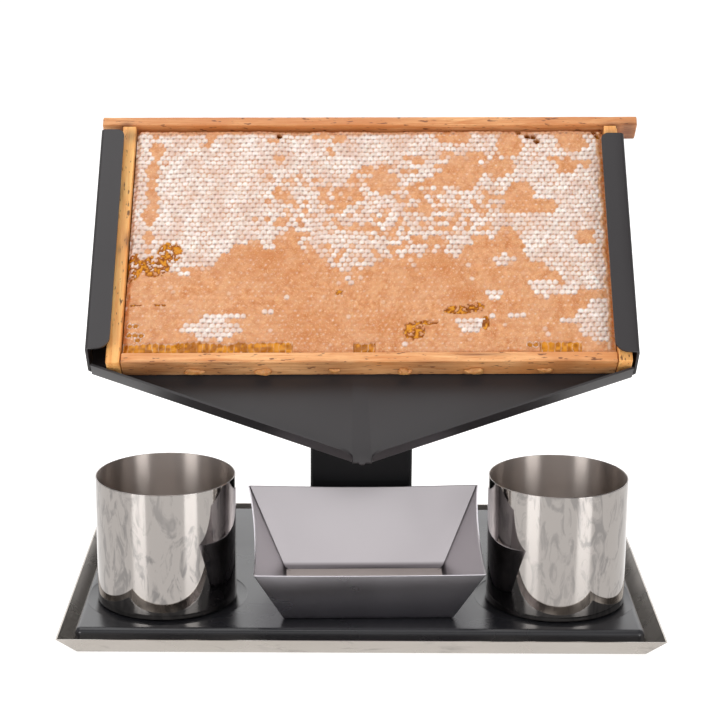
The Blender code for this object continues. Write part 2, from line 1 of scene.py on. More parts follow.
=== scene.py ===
"""Looks for the comb serving stand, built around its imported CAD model.

Axes are the CAD's: X to the right, Y to the back, Z up, in metres. The leaning holder and the comb
frame have axes of their own: x to the right, s up the leaning plate and n out of its front.
"""
import json
import math

import bmesh
import bpy
import numpy as np
from mathutils import Matrix, Vector


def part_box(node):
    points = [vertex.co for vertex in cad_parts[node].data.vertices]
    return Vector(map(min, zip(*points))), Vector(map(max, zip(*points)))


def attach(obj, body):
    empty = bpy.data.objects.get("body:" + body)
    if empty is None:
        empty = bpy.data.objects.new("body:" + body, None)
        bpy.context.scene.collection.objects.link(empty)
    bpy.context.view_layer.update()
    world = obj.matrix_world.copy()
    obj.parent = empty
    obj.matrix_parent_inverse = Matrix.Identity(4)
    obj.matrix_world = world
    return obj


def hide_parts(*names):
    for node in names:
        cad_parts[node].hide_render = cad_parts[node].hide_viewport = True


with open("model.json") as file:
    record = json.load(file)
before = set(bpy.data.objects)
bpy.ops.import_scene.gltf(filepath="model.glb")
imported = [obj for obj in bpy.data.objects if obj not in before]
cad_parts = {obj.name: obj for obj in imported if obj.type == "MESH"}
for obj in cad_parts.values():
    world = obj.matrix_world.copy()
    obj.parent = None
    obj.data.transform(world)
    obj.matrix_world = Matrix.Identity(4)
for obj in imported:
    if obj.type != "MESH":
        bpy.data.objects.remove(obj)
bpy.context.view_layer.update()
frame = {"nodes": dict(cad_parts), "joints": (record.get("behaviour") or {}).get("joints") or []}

MM = 0.001

# Sheet thicknesses and small dimensions that a node's box doesn't give
TRAY_SHEET = 1.2 * MM
TRAY_FLARE = 15.0 * MM
TRAY_CORNER = 0.9 * MM
DECK_SHEET = 3.0 * MM
DECK_RADIUS = 5.0 * MM
RECESS_RADIUS = 67.0 * MM
RECESS_DEPTH = 0.6 * MM
CUP_SHEET = 1.0 * MM
CUP_BASE_RADIUS = 2.0 * MM
CUP_SEGMENTS = 256
BOWL_SHEET = 1.2 * MM
BOWL_CORNER = 1.6 * MM
BOWL_FLARE = 0.48
BOWL_FRONT_FLARE = 0.515
BOWL_FRONT_HEIGHT = 46.8 * MM
BOWL_BACK_HEIGHT = 66.8 * MM
BOWL_BASE_X, BOWL_BASE_Y = 69.5 * MM, 56.5 * MM     # half its base's width and depth
BOWL_X_IN_BOX = 0.5 * MM                # its middle, to the right of its box's middle
BOWL_YAW = math.radians(1.6)
BOWL_RIM_DIP = 1.2 * MM                 # the rims sag between their corners
BOWL_RIM_PULL = 3.0 * MM                # and draw inwards there
HOLDER_SHEET = 2.0 * MM
PLATE_TOP = 233.0 * MM
V_DROP = 86.8 * MM
TIP_HALF = 8.5 * MM                     # half the opening between the two gutters
FLANGE_WIDTH = 20.7 * MM
FLANGE_BOTTOM = 6.4 * MM
FLANGE_TOP_CORNER = 6.5 * MM
FLANGE_BOTTOM_CORNER = 11.0 * MM
GUTTER_DEPTH = 16.5 * MM
GUTTER_CORNER = 10.0 * MM
BEND_RADIUS = 2.6 * MM
NOSE_HALF, NOSE_DROP = 2.6 * MM, 1.6 * MM
FRAME_TILT = math.radians(0.6)
FRAME_RACK = 0.0135                     # the wooden frame leans to the right by this share of its height
BAR_STEP = 1.6 * MM                     # spacing of the points along and around a bar
BAR_WEAR = 0.35 * MM
CELL_PITCH = 5.35 * MM
CELL_RADIUS = CELL_PITCH / 2.0
ROW_PITCH = 4.7 * MM


# ---------------- axes and boxes

def joint_axis(name):
    found = [joint for joint in frame["joints"] if joint["name"] == name]
    return Vector(found[0]["axis"])


def local_box(node, axes):
    """Lowest and highest corner of a CAD node in some axes."""
    inverse = axes.inverted()
    points = np.array([inverse @ vertex.co for vertex in frame["nodes"][node].data.vertices])
    return Vector(points.min(0)), Vector(points.max(0))


def holder_axes():
    """x, s and n of the holder: s = 0 at the plate's outer lower corners, n = 0 on its front face."""
    up = joint_axis("frame_slide").normalized()
    right = Vector((1.0, 0.0, 0.0))
    turn = Matrix((right, up, right.cross(up))).transposed().to_4x4()
    low, high = local_box("comb_holder", turn)
    return turn @ Matrix.Translation((0.0, high.y - PLATE_TOP, low.z + HOLDER_SHEET))


HOLDER = holder_axes()
COMB = HOLDER @ Matrix.Rotation(FRAME_TILT, 4, "Z")
RACK = Matrix.Identity(4)
RACK[0][1] = FRAME_RACK


def frame_box(node):
    """A part of the wooden frame, measured as if the frame were square."""
    return local_box(node, COMB @ RACK)


def add_to_frame(mesh, crease=35.0):
    """An object in the comb frame's axes, from a mesh drawn as if the frame were square."""
    mesh.transform(RACK)
    return add_object(mesh, COMB, crease)


# ---------------- meshes

def link_object(name, data):
    thing = bpy.data.objects.new(name, data)
    bpy.context.scene.collection.objects.link(thing)
    return thing


def add_object(mesh, axes=Matrix.Identity(4), crease=35.0):
    """An object with its mesh's name, smooth but for edges sharper than crease degrees."""
    mesh.shade_smooth()
    mesh.set_sharp_from_angle(angle=math.radians(crease))
    thing = link_object(mesh.name, mesh)
    thing.matrix_world = axes
    return thing


def mesh_from(name, points, faces):
    mesh = bpy.data.meshes.new(name)
    mesh.from_pydata([tuple(point) for point in points], [], faces)
    mesh.validate()
    shape = bmesh.new()
    shape.from_mesh(mesh)
    bmesh.ops.recalc_face_normals(shape, faces=shape.faces)
    shape.to_mesh(mesh)
    shape.free()
    return mesh


def loft(name, rings, closed=True):
    """Faces between rings of equally many points. The first and last ring are capped when closed."""
    count = len(rings[0])
    points = [point for ring in rings for point in ring]
    faces = []
    for level in range(len(rings) - 1):
        for index in range(count):
            after = (index + 1) % count
            low, high = level * count, (level + 1) * count
            faces.append((low + index, low + after, high + after, high + index))
    if closed:
        faces.append(tuple(reversed(range(count))))
        faces.append(tuple(range(len(points) - count, len(points))))
    return mesh_from(name, points, faces)


def rounded_ring(half_x, half_y, radius, z, centre=(0.0, 0.0), steps=6):
    ring = []
    for sign_x, sign_y, start in ((1, -1, -90.0), (1, 1, 0.0), (-1, 1, 90.0), (-1, -1, 180.0)):
        for step in range(steps + 1):
            angle = math.radians(start + 90.0 * step / steps)
            ring.append(Vector((centre[0] + sign_x * (half_x - radius) + radius * math.cos(angle),
                                centre[1] + sign_y * (half_y - radius) + radius * math.sin(angle), z)))
    return ring


def quarter(centre, radius, start, end, steps=5):
    """(a, b) points of an arc between two angles in degrees."""
    angles = [math.radians(start + (end - start) * step / steps) for step in range(steps + 1)]
    return [(centre[0] + radius * math.cos(a), centre[1] + radius * math.sin(a)) for a in angles]


def turned(name, profile, segments, centre=(0.0, 0.0)):
    """(radius, z) points turned about a vertical axis. The first and last rings are capped."""
    rings = []
    for radius, z in profile:
        angles = [2.0 * math.pi * index / segments for index in range(segments)]
        rings.append([Vector((centre[0] + radius * math.cos(a), centre[1] + radius * math.sin(a), z))
                      for a in angles])
    return loft(name, rings)


def boolean(thing, cutter_mesh):
    cutter = link_object("cutter", cutter_mesh)
    cutter.matrix_world = thing.matrix_world
    modifier = thing.modifiers.new("Cut", "BOOLEAN")
    modifier.operation = "DIFFERENCE"
    modifier.solver = "EXACT"
    modifier.object = cutter
    apply_modifiers(thing)
    bpy.data.objects.remove(cutter, do_unlink=True)


def apply_modifiers(thing):
    bpy.context.view_layer.update()
    graph = bpy.context.evaluated_depsgraph_get()
    mesh = bpy.data.meshes.new_from_object(thing.evaluated_get(graph))
    thing.modifiers.clear()
    thing.data = mesh


def add_bevel(thing, width, segments=2, angle=30.0):
    bevel = thing.modifiers.new("Edges", "BEVEL")
    bevel.width = width
    bevel.segments = segments
    bevel.limit_method = "ANGLE"
    bevel.angle_limit = math.radians(angle)
    bevel.harden_normals = True


NOISE_CELLS = 128
NOISE_TABLES = {}


def value_noise(x, y, size, seed):
    """Smooth noise from -1 to 1 with patches of about the given size."""
    if seed not in NOISE_TABLES:
        NOISE_TABLES[seed] = np.random.RandomState(seed).uniform(-1.0, 1.0, (NOISE_CELLS, NOISE_CELLS))
    table = NOISE_TABLES[seed]
    gx, gy = np.asarray(x) / size, np.asarray(y) / size
    ix, iy = np.floor(gx).astype(int), np.floor(gy).astype(int)
    fx, fy = gx - ix, gy - iy
    fx, fy = fx * fx * (3.0 - 2.0 * fx), fy * fy * (3.0 - 2.0 * fy)
    left, right = ix % NOISE_CELLS, (ix + 1) % NOISE_CELLS
    low, high = iy % NOISE_CELLS, (iy + 1) % NOISE_CELLS
    lower = table[low, left] * (1.0 - fx) + table[low, right] * fx
    upper = table[high, left] * (1.0 - fx) + table[high, right] * fx
    return lower * (1.0 - fy) + upper * fy


def smooth(low, high, value):
    """0 at low, 1 at high and an S-curve between them. low may be the larger one."""
    t = np.clip((value - low) / (high - low), 0.0, 1.0)
    return t * t * (3.0 - 2.0 * t)


# ---------------- materials

class Nodes:
    """A material's node tree, with one short call for each kind of node."""

    def __init__(self, name):
        self.material = bpy.data.materials.new(name)
        self.material.use_nodes = True
        self.tree = self.material.node_tree
        self.shader = self.tree.nodes["Principled BSDF"]
        self.object = self.tree.nodes.new("ShaderNodeTexCoord").outputs["Object"]

    def put(self, socket, value):
        if isinstance(value, bpy.types.NodeSocket):
            self.tree.links.new(value, socket)
        elif value is not None:
            socket.default_value = value

    def set(self, node=None, **values):
        """Inputs of the shader, or of another node, named with _ for a space."""
        for name, value in values.items():
            self.put((node or self.shader).inputs[name.replace("_", " ")], value)

    def add(self, kind, **values):
        node = self.tree.nodes.new("ShaderNode" + kind)
        self.set(node, **values)
        return node

    def noise(self, scale, detail=3.0, rough=0.5, stretch=None, distortion=0.0):
        place = self.object
        if stretch:
            place = self.add("Mapping", Vector=place, Scale=stretch).outputs["Vector"]
        return self.add("TexNoise", Vector=place, Scale=scale, Detail=detail, Roughness=rough,
                        Distortion=distortion).outputs["Fac"]

    def attribute(self, name):
        attribute = self.add("Attribute")
        attribute.attribute_name = name
        return attribute.outputs["Fac"]

    def ramp(self, factor, *stops):
        """Stops are (place, number) pairs."""
        ramp = self.add("ValToRGB", Fac=factor)
        elements = ramp.color_ramp.elements
        for element, (place, value) in zip(elements, stops):
            element.position = place
            element.color = (value, value, value, 1.0)
        return ramp.outputs["Color"]

    def mix(self, factor, first, second):
        """first where the factor is 0 and second where it is 1. Each is a socket or a linear colour."""
        mix = self.add("Mix")
        mix.data_type = "RGBA"
        self.put(mix.inputs[0], factor)
        for socket, value in ((mix.inputs[6], first), (mix.inputs[7], second)):
            self.put(socket, (*value, 1.0) if isinstance(value, tuple) else value)
        return mix.outputs[2]

    def product(self, first, second):
        node = self.add("Math")
        node.operation = "MULTIPLY"
        self.put(node.inputs[0], first)
        self.put(node.inputs[1], second)
        return node.outputs[0]

    def bump(self, height, strength, distance, normal=None):
        return self.add("Bump", Height=height, Strength=strength, Distance=distance,
                        Normal=normal).outputs["Normal"]


def srgb(red, green, blue):
    """Linear colour from 0-255 display values."""
    values = [value / 255.0 for value in (red, green, blue)]
    return tuple(v / 12.92 if v <= 0.04045 else ((v + 0.055) / 1.055) ** 2.4 for v in values)


def polished_steel():
    """Polished stainless steel, its colour darkened in faint upright streaks as a painted reflection, which
    also bump its sheen.
    """
    nodes = Nodes("polished_steel")
    patches = nodes.noise(9.0, 3.0, 0.6, (1.0, 1.0, 0.6))
    streak_noise = nodes.noise(95.0, 4.0, 0.6, (1.0, 1.0, 0.38), 1.2)
    # Painted reflection: the steel's colour darkens in the upright streaks.
    unstreaked = nodes.ramp(streak_noise, (0.37, 0.0), (0.50, 1.0))
    colour = nodes.mix(unstreaked, srgb(128, 125, 123), srgb(162, 157, 153))
    colour = nodes.mix(nodes.ramp(patches, (0.40, 0.0), (0.75, 0.6)), colour, srgb(164, 159, 155))
    nodes.set(Base_Color=colour, Metallic=1.0, Roughness=nodes.ramp(patches, (0.3, 0.03), (0.75, 0.06)),
              Normal=nodes.bump(streak_noise, 0.04, 0.2 * MM, nodes.bump(patches, 0.03, 1.0 * MM)))
    return nodes.material


def tray_steel():
    """Satin stainless steel with dull blotches."""
    nodes = Nodes("tray_steel")
    patches = nodes.noise(14.0, 3.0, 0.6)
    streak_noise = nodes.noise(38.0, 4.0, 0.65, (0.5, 1.0, 1.0), 0.8)
    unstreaked = nodes.ramp(streak_noise, (0.32, 0.0), (0.46, 1.0))
    colour = nodes.mix(unstreaked, srgb(140, 136, 130), srgb(180, 174, 167))
    colour = nodes.mix(nodes.ramp(patches, (0.4, 0.0), (0.7, 0.7)), colour, srgb(190, 184, 178))
    nodes.set(Base_Color=colour, Metallic=1.0, Roughness=nodes.ramp(patches, (0.3, 0.24), (0.7, 0.32)),
              Normal=nodes.bump(streak_noise, 0.04, 0.2 * MM))
    return nodes.material


def cup_lining():
    """The inside of a cup, turned, so that its fine level grooves spread highlights up and down."""
    nodes = Nodes("cup_lining")
    brush = nodes.noise(500.0, 2.0, 0.6, (0.02, 0.02, 1.0))
    patches = nodes.noise(20.0, 3.0, 0.6)
    tangent = nodes.add("Tangent")
    tangent.direction_type = "RADIAL"
    tangent.axis = "Z"
    nodes.set(Base_Color=nodes.mix(patches, srgb(178, 168, 161), srgb(194, 185, 179)), Metallic=1.0,
              Roughness=nodes.ramp(brush, (0.3, 0.30), (0.7, 0.38)), Anisotropic=0.9,
              Anisotropic_Rotation=0.25, Tangent=tangent.outputs["Tangent"],
              Normal=nodes.bump(brush, 0.04, 0.05 * MM))
    return nodes.material


def bowl_steel(name, rough, dark, light, metal=1.0):
    """Bead-blasted stainless steel with an even, soft sheen, and painted shade along its inner folds."""
    nodes = Nodes(name)
    grain = nodes.noise(1400.0, 2.0, 0.6)
    patches = nodes.noise(10.0, 3.0, 0.6)
    # Painted shade: the inner corners and the inner base darken towards a dull grey-brown.
    crease_shade = nodes.ramp(nodes.attribute("crease_shade"), (0.3, 0.0), (0.95, 0.75))
    colour = nodes.mix(crease_shade, nodes.mix(patches, dark, light), srgb(92, 84, 88))
    nodes.set(Base_Color=colour, Metallic=metal,
              Roughness=nodes.ramp(patches, (0.3, rough - 0.03), (0.7, rough + 0.03)),
              Normal=nodes.bump(grain, 0.03, 0.03 * MM))
    return nodes.material


def black_coat(name, dark, light, rough, sheen):
    """Fine-textured black powder coat."""
    nodes = Nodes(name)
    patches = nodes.noise(7.0, 4.0, 0.6)
    grain = nodes.noise(1600.0, 2.0, 0.6)
    nodes.set(Base_Color=nodes.mix(patches, dark, light),
              Roughness=nodes.ramp(patches, (0.3, rough - 0.06), (0.7, rough + 0.05)),
              Specular_IOR_Level=sheen,
              Normal=nodes.bump(grain, 0.15, 0.05 * MM))
    return nodes.material


def small_part(name, grain, dark, light, rough, metal, bump):
    """One even material with a fine grain, for fasteners and feet. rough is a (least, most) pair."""
    nodes = Nodes(name)
    wear = nodes.noise(*grain, 0.6)
    nodes.set(Base_Color=nodes.mix(wear, dark, light), Metallic=metal,
              Roughness=nodes.ramp(wear, (0.3, rough[0]), (0.7, rough[1])), Normal=nodes.bump(wear, *bump))
    return nodes.material


def pine(name, along, fresh, stained, dark, stain=0.5):
    """Pine with its grain along x or s: streaks, short dark dashes, and stains from honey and wear."""
    nodes = Nodes(name)

    def stretch(share):
        return (share, 1.0, 1.0) if along == "x" else (1.0, share, 1.0)

    grain = nodes.noise(330.0, 5.0, 0.72, stretch(0.05), 0.8)
    fibre = nodes.noise(1500.0, 3.0, 0.6, stretch(0.06))
    patches = nodes.noise(26.0, 4.0, 0.6, stretch(0.4))
    dashes = nodes.noise(420.0, 2.0, 0.5, stretch(0.26))
    colour = nodes.mix(nodes.ramp(grain, (0.36, 0.0), (0.62, 1.0)), stained, fresh)
    colour = nodes.mix(nodes.ramp(patches, (stain - 0.10, 0.0), (stain + 0.14, 0.8)), colour, stained)
    colour = nodes.mix(nodes.ramp(dashes, (0.31, 0.85), (0.37, 0.0)), colour, dark)
    soiled = nodes.product(nodes.attribute("soil"), nodes.ramp(grain, (0.3, 1.0), (0.7, 0.45)))
    colour = nodes.mix(soiled, colour, dark)
    nodes.set(Base_Color=colour, Roughness=nodes.ramp(patches, (0.4, 0.62), (0.65, 0.38)),
              Subsurface_Weight=0.03, Subsurface_Scale=1.0 * MM,
              Normal=nodes.bump(fibre, 0.3, 0.15 * MM, nodes.bump(grain, 0.6, 0.4 * MM)))
    return nodes.material


def capped_comb():
    """Wax cappings from white to tan, with glossy honey where cells are open, dark brown painted shade under
    and between the cappings and in deep open cells, and light painted highlight specks.
    """
    nodes = Nodes("capped_comb")
    white, honey, comb_shade, deep = (nodes.attribute(name) for name in ("white", "honey", "comb_shade", "deep"))
    sparkle_and_bump = nodes.noise(650.0, 3.0, 0.65)
    blotch = nodes.noise(160.0, 4.0, 0.6)
    wide = nodes.noise(45.0, 4.0, 0.6)
    tan = nodes.mix(nodes.ramp(blotch, (0.36, 0.0), (0.64, 1.0)), srgb(190, 118, 62), srgb(216, 154, 102))
    tan = nodes.mix(nodes.ramp(wide, (0.38, 0.0), (0.62, 0.55)), tan, srgb(212, 156, 112))
    tan = nodes.mix(nodes.product(deep, 0.7), tan, srgb(190, 114, 48))
    # Painted highlight: light specks of sparkle over the tan cappings.
    tan = nodes.mix(nodes.ramp(sparkle_and_bump, (0.55, 0.0), (0.70, 0.6)), tan, srgb(236, 196, 154))
    pale = nodes.mix(nodes.ramp(blotch, (0.35, 0.0), (0.65, 1.0)), srgb(216, 194, 180), srgb(242, 235, 228))
    pale = nodes.mix(nodes.ramp(wide, (0.45, 0.0), (0.62, 0.5)), pale, srgb(206, 164, 140))
    colour = nodes.mix(white, tan, pale)
    # Painted shade: dark brown below and between the cappings and in the deep open cells.
    colour = nodes.mix(comb_shade, colour, srgb(120, 74, 54))
    amber = nodes.mix(nodes.ramp(blotch, (0.3, 0.0), (0.7, 1.0)), srgb(122, 60, 6), srgb(170, 96, 10))
    amber = nodes.mix(white, amber, srgb(214, 142, 34))
    colour = nodes.mix(honey, colour, amber)
    nodes.set(Base_Color=colour, Roughness=nodes.ramp(honey, (0.0, 0.42), (1.0, 0.2)),
              Specular_IOR_Level=nodes.ramp(honey, (0.0, 0.5), (1.0, 0.22)),
              Subsurface_Weight=0.1, Subsurface_Scale=1.0 * MM,
              Normal=nodes.bump(sparkle_and_bump, 0.4, 0.35 * MM, nodes.bump(blotch, 0.3, 0.6 * MM)))
    return nodes.material


def beeswax():
    nodes = Nodes("beeswax")
    lumps = nodes.noise(260.0, 4.0, 0.6)
    colour = nodes.mix(nodes.ramp(lumps, (0.35, 0.0), (0.7, 1.0)), srgb(176, 114, 58), srgb(214, 158, 96))
    nodes.set(Base_Color=colour, Roughness=nodes.ramp(lumps, (0.3, 0.3), (0.7, 0.55)),
              Subsurface_Weight=0.15, Subsurface_Scale=2.0 * MM, Normal=nodes.bump(lumps, 0.5, 0.5 * MM))
    return nodes.material


def add_layer(mesh, name, values):
    """A number for each point of a mesh, which its material reads."""
    mesh.attributes.new(name, "FLOAT", "POINT").data.foreach_set("value", values)


def finish_piece(thing, body, slot, material, *replaced):
    """One material, the body that it rides on, the record's slot (not used) and the CAD nodes that it stands
    for.
    """
    thing.data.materials.clear()
    thing.data.materials.append(material)
    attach(thing, body)
    if replaced:
        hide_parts(*replaced)


# ---------------- tray and deck

def make_tray(material):
    low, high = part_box("drip_tray")
    half_x, half_y, height = high.x, high.y, high.z
    slope = TRAY_FLARE / height
    wall = TRAY_SHEET * math.hypot(1.0, slope)
    foot = TRAY_FLARE + wall - slope * TRAY_SHEET
    lip = TRAY_SHEET * 0.35
    profile = [(TRAY_FLARE + 3.0 * MM, 0.0), (TRAY_FLARE + 0.8 * MM, 0.0), (TRAY_FLARE - 0.2 * MM, 0.3 * MM),
               (TRAY_FLARE - 1.0 * MM, 1.1 * MM), (lip, height - lip), (lip * 0.6, height - lip * 0.3),
               (wall * 0.5, height), (wall - lip * 0.2, height - lip * 0.3), (wall, height - lip),
               (foot - 0.8 * MM, TRAY_SHEET + 0.9 * MM), (foot + 0.4 * MM, TRAY_SHEET + 0.1 * MM),
               (foot + 1.4 * MM, TRAY_SHEET), (foot + 4.0 * MM, TRAY_SHEET)]
    rings = [rounded_ring(half_x - inset, half_y - inset, TRAY_CORNER, z, steps=3) for inset, z in profile]
    tray = add_object(loft("tray_sheet", rings))
    finish_piece(tray, "tray", "polished_steel", material, "drip_tray")


def make_deck(material):
    low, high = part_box("deck")
    half_x, half_y = (high.x - low.x) / 2.0, (high.y - low.y) / 2.0
    middle = ((high.x + low.x) / 2.0, (high.y + low.y) / 2.0)
    levels = [(0.4 * MM, low.z), (0.0, low.z + 0.4 * MM)]
    levels += [(DECK_RADIUS - a, high.z - DECK_RADIUS + b)
               for a, b in quarter((0.0, 0.0), DECK_RADIUS, 0.0, 90.0, 10)]
    rings = [rounded_ring(half_x - inset, half_y - inset, DECK_RADIUS + 1.2 * MM - inset, z, middle, 10)
             for inset, z in levels]
    deck = add_object(loft("deck_plate", rings))
    inner = [rounded_ring(half_x - DECK_SHEET, half_y - DECK_SHEET, 2.5 * MM, z, middle)
             for z in (low.z - 1.0 * MM, high.z - DECK_SHEET)]
    boolean(deck, loft("pocket", inner))
    for cup in ("left_cup", "right_cup"):
        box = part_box(cup)
        centre = ((box[0].x + box[1].x) / 2.0, (box[0].y + box[1].y) / 2.0)
        floor = high.z - RECESS_DEPTH
        edge = RECESS_RADIUS + 0.3 * MM
        profile = [(RECESS_RADIUS - 1.0 * MM, floor), (RECESS_RADIUS - 0.2 * MM, floor + 0.25 * MM),
                   (edge, high.z + 0.1 * MM), (edge, high.z + 2.0 * MM)]
        boolean(deck, turned("recess", profile, 192, centre))
    deck.data.set_sharp_from_angle(angle=math.radians(25.0))
    finish_piece(deck, "stand", "black_coat", material, "deck")


# ---------------- cups and bowl

def make_cup(name, node, polished, lining):
    """A turned cup, mirror-bright outside and brushed inside."""
    low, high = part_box(node)
    centre = ((low.x + high.x) / 2.0, (low.y + high.y) / 2.0)
    radius = (high.x - low.x) / 2.0
    lip = CUP_SHEET / 2.0
    turn = (radius - CUP_BASE_RADIUS, low.z + CUP_BASE_RADIUS)
    outside = quarter(turn, CUP_BASE_RADIUS, -90.0, 0.0, 12)
    rim = quarter((radius - lip, high.z - lip), lip, 0.0, 180.0, 8)
    inside = quarter(turn, CUP_BASE_RADIUS - CUP_SHEET, 0.0, -90.0, 10)
    profile = [(radius * 0.3, low.z)] + outside + rim + inside + [(radius * 0.3, low.z + CUP_SHEET)]
    cup = add_object(turned(name, profile, CUP_SEGMENTS, centre))
    finish_piece(cup, node, "polished_steel", polished, node)
    cup.data.materials.append(lining)
    for face in cup.data.polygons:
        face.material_index = 1 if face.index >= CUP_SEGMENTS * (len(outside) + len(rim) - 2) else 0


def bowl_ring(corners, rounding, steps=5):
    """A ring through four corners, each rounded with a parabola."""
    ring = []
    for index, corner in enumerate(corners):
        before = (corners[index - 1] - corner).normalized() * rounding
        after = (corners[(index + 1) % 4] - corner).normalized() * rounding
        for step in range(steps + 1):
            t = step / steps
            ring.append(corner + before * (1.0 - t) ** 2 + after * t ** 2)
        following = corners[(index + 1) % 4]
        start, end = corner + after, following - after
        for step in range(1, 12):
            ring.append(start.lerp(end, step / 12.0))
    return ring


def mark_crease_shade(mesh, first, levels, count):
    """Painted shade in the bowl's creases: 1 in the back inner corners and along the inner base, 0.5 in the
    front inner corners, from ring first on, else 0.
    """
    crease_shade = np.zeros((levels, count), dtype=np.float32)
    side = count // 4
    for index in range(count):
        if index % side in (2, 3):
            back = index // side >= 2
            crease_shade[first:levels - 1, index] = 1.0 if back else 0.5
    crease_shade[levels - 4:levels - 2] = 1.0
    add_layer(mesh, "crease_shade", crease_shade.reshape(-1))


def bowl_corners(inset, share, lift=0.0):
    """The four corners of a level, at a share of the height from lift to the rim."""
    result = []
    for sign_x, sign_y in ((-1, -1), (1, -1), (1, 1), (-1, 1)):
        at_front = sign_y < 0
        top = BOWL_FRONT_HEIGHT if at_front else BOWL_BACK_HEIGHT
        height = lift + (top - lift) * share
        run = (BOWL_FRONT_FLARE if at_front else BOWL_FLARE) * height - inset
        result.append(Vector((sign_x * (BOWL_BASE_X + run), sign_y * (BOWL_BASE_Y + run), height)))
    return result


def bowl_level(inset, share, lift=0.0):
    """A ring round the walls, sagging and drawn in between its corners, the more so the higher it is."""
    middle = bowl_corners(inset, share, lift)
    points = bowl_ring(middle, BOWL_CORNER)
    reach = middle[1].x
    for point in points:
        across = min(1.0, abs(point.x) / reach)
        along = (point.y - middle[0].y) / (middle[2].y - middle[0].y)
        bend_end = 1.0 - across ** 2
        bend_side = max(0.0, 4.0 * along * (1.0 - along))
        if along < 0.02 or along > 0.98:
            point.z -= BOWL_RIM_DIP * bend_end * share ** 2
            point.y += BOWL_RIM_PULL * bend_end * share ** 2 * (0.5 if along < 0.5 else -0.3)
        else:
            point.x -= math.copysign(BOWL_RIM_PULL, point.x) * bend_side * share ** 2
    return points


def bowl_bottom(inset, z):
    ring = bowl_ring(bowl_corners(inset, 0.0), BOWL_CORNER)
    return [Vector((point.x, point.y, z)) for point in ring]


def make_bowl(outside, inside, floor):
    """Four flared walls between a flat base and a rim that draws in and sags between its corners."""
    low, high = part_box("drip_bowl")
    front_y = low.y + BOWL_FRONT_FLARE * BOWL_FRONT_HEIGHT + BOWL_BASE_X * math.sin(BOWL_YAW)
    centre = Vector(((low.x + high.x) / 2.0 + BOWL_X_IN_BOX, front_y + BOWL_BASE_Y, low.z))
    place = Matrix.Translation(centre) @ Matrix.Rotation(BOWL_YAW, 4, "Z")
    wall = BOWL_SHEET * math.hypot(1.0, BOWL_FLARE)

    shares = [index / 10.0 for index in range(1, 11)]
    rings = [bowl_bottom(6.0 * MM, 0.0), bowl_bottom(1.6 * MM, 0.0), bowl_bottom(0.5 * MM, 0.25 * MM),
             bowl_level(0.0, 0.03)]
    rings += [bowl_level(0.0, share * 0.995) for share in shares]
    outer_count = len(rings)
    rings += [bowl_level(wall * 0.5, 1.0)]
    rings += [bowl_level(wall, share * 0.995, BOWL_SHEET) for share in reversed(shares)]
    rings += [bowl_level(wall, 0.03, BOWL_SHEET), bowl_bottom(wall + 0.5 * MM, BOWL_SHEET + 0.2 * MM),
              bowl_bottom(wall + 1.6 * MM, BOWL_SHEET), bowl_bottom(wall + 6.0 * MM, BOWL_SHEET)]
    bowl = add_object(loft("bowl_sheet", rings), place, crease=28.0)
    finish_piece(bowl, "bowl", "satin_steel", outside, "drip_bowl")
    bowl.data.materials.append(inside)
    bowl.data.materials.append(floor)
    count = len(rings[0])
    mark_crease_shade(bowl.data, outer_count + 1, len(rings), count)
    bottom_cap = (len(rings) - 1) * count
    # Painted light: the floor faces take the third material, a paler matte copy of the steel.
    for face in bowl.data.polygons:
        is_inside = outer_count * count <= face.index != bottom_cap
        is_floor = (len(rings) - 3) * count <= face.index != bottom_cap
        face.material_index = 2 if is_floor else int(is_inside)


# ---------------- holder

def v_edge(x, half):
    """s of the V's edge, outside the bend."""
    return -V_DROP * (1.0 - abs(x) / half)


def arc_rise(share):
    """How far a rounded corner of radius 1 falls away, from 0 where share is 0 to 1 where it is 1."""
    return 1.0 - math.sqrt(max(0.0, 1.0 - max(0.0, share) ** 2))


def holder_columns(half, front, behind, bend):
    """Columns of the right half, from the flange's free edge round to the V's tip, as (x, n, lowest s,
    highest s), and the index of the first column that has a gutter."""
    free = half - FLANGE_WIDTH
    flange_top = PLATE_TOP - 1.0 * MM
    columns = []
    for a, b in quarter((0.0, 0.0), 1.0, 180.0, 90.0, 9):
        x = free + FLANGE_BOTTOM_CORNER * (1.0 + a)
        rise = FLANGE_TOP_CORNER * arc_rise(1.0 - (x - free) / FLANGE_TOP_CORNER)
        columns.append((x, front, FLANGE_BOTTOM + FLANGE_BOTTOM_CORNER * (1.0 - b), flange_top - rise))
    for a, b in quarter((half - bend, front - bend), bend, 90.0, 0.0, 6):
        columns.append((a, b, FLANGE_BOTTOM, flange_top))
    for a, b in quarter((half - bend, behind + bend), bend, 0.0, -90.0, 6):
        columns.append((a, b, 2.4 * MM, PLATE_TOP))
    gutter_from = len(columns)
    columns.append((half - bend - 0.05 * MM, behind, v_edge(half - bend, half) + bend, PLATE_TOP))
    across = [half - bend - 0.4 * MM, half * 0.75, half * 0.5, half * 0.25, 30.0 * MM,
              TIP_HALF + GUTTER_CORNER]
    across += [TIP_HALF + GUTTER_CORNER * (1.0 + a) for a, b in quarter((0.0, 0.0), 1.0, 90.0, 180.0, 6)[1:]]
    columns += [(x, behind, v_edge(x, half) + bend, PLATE_TOP) for x in across]
    return columns, gutter_from


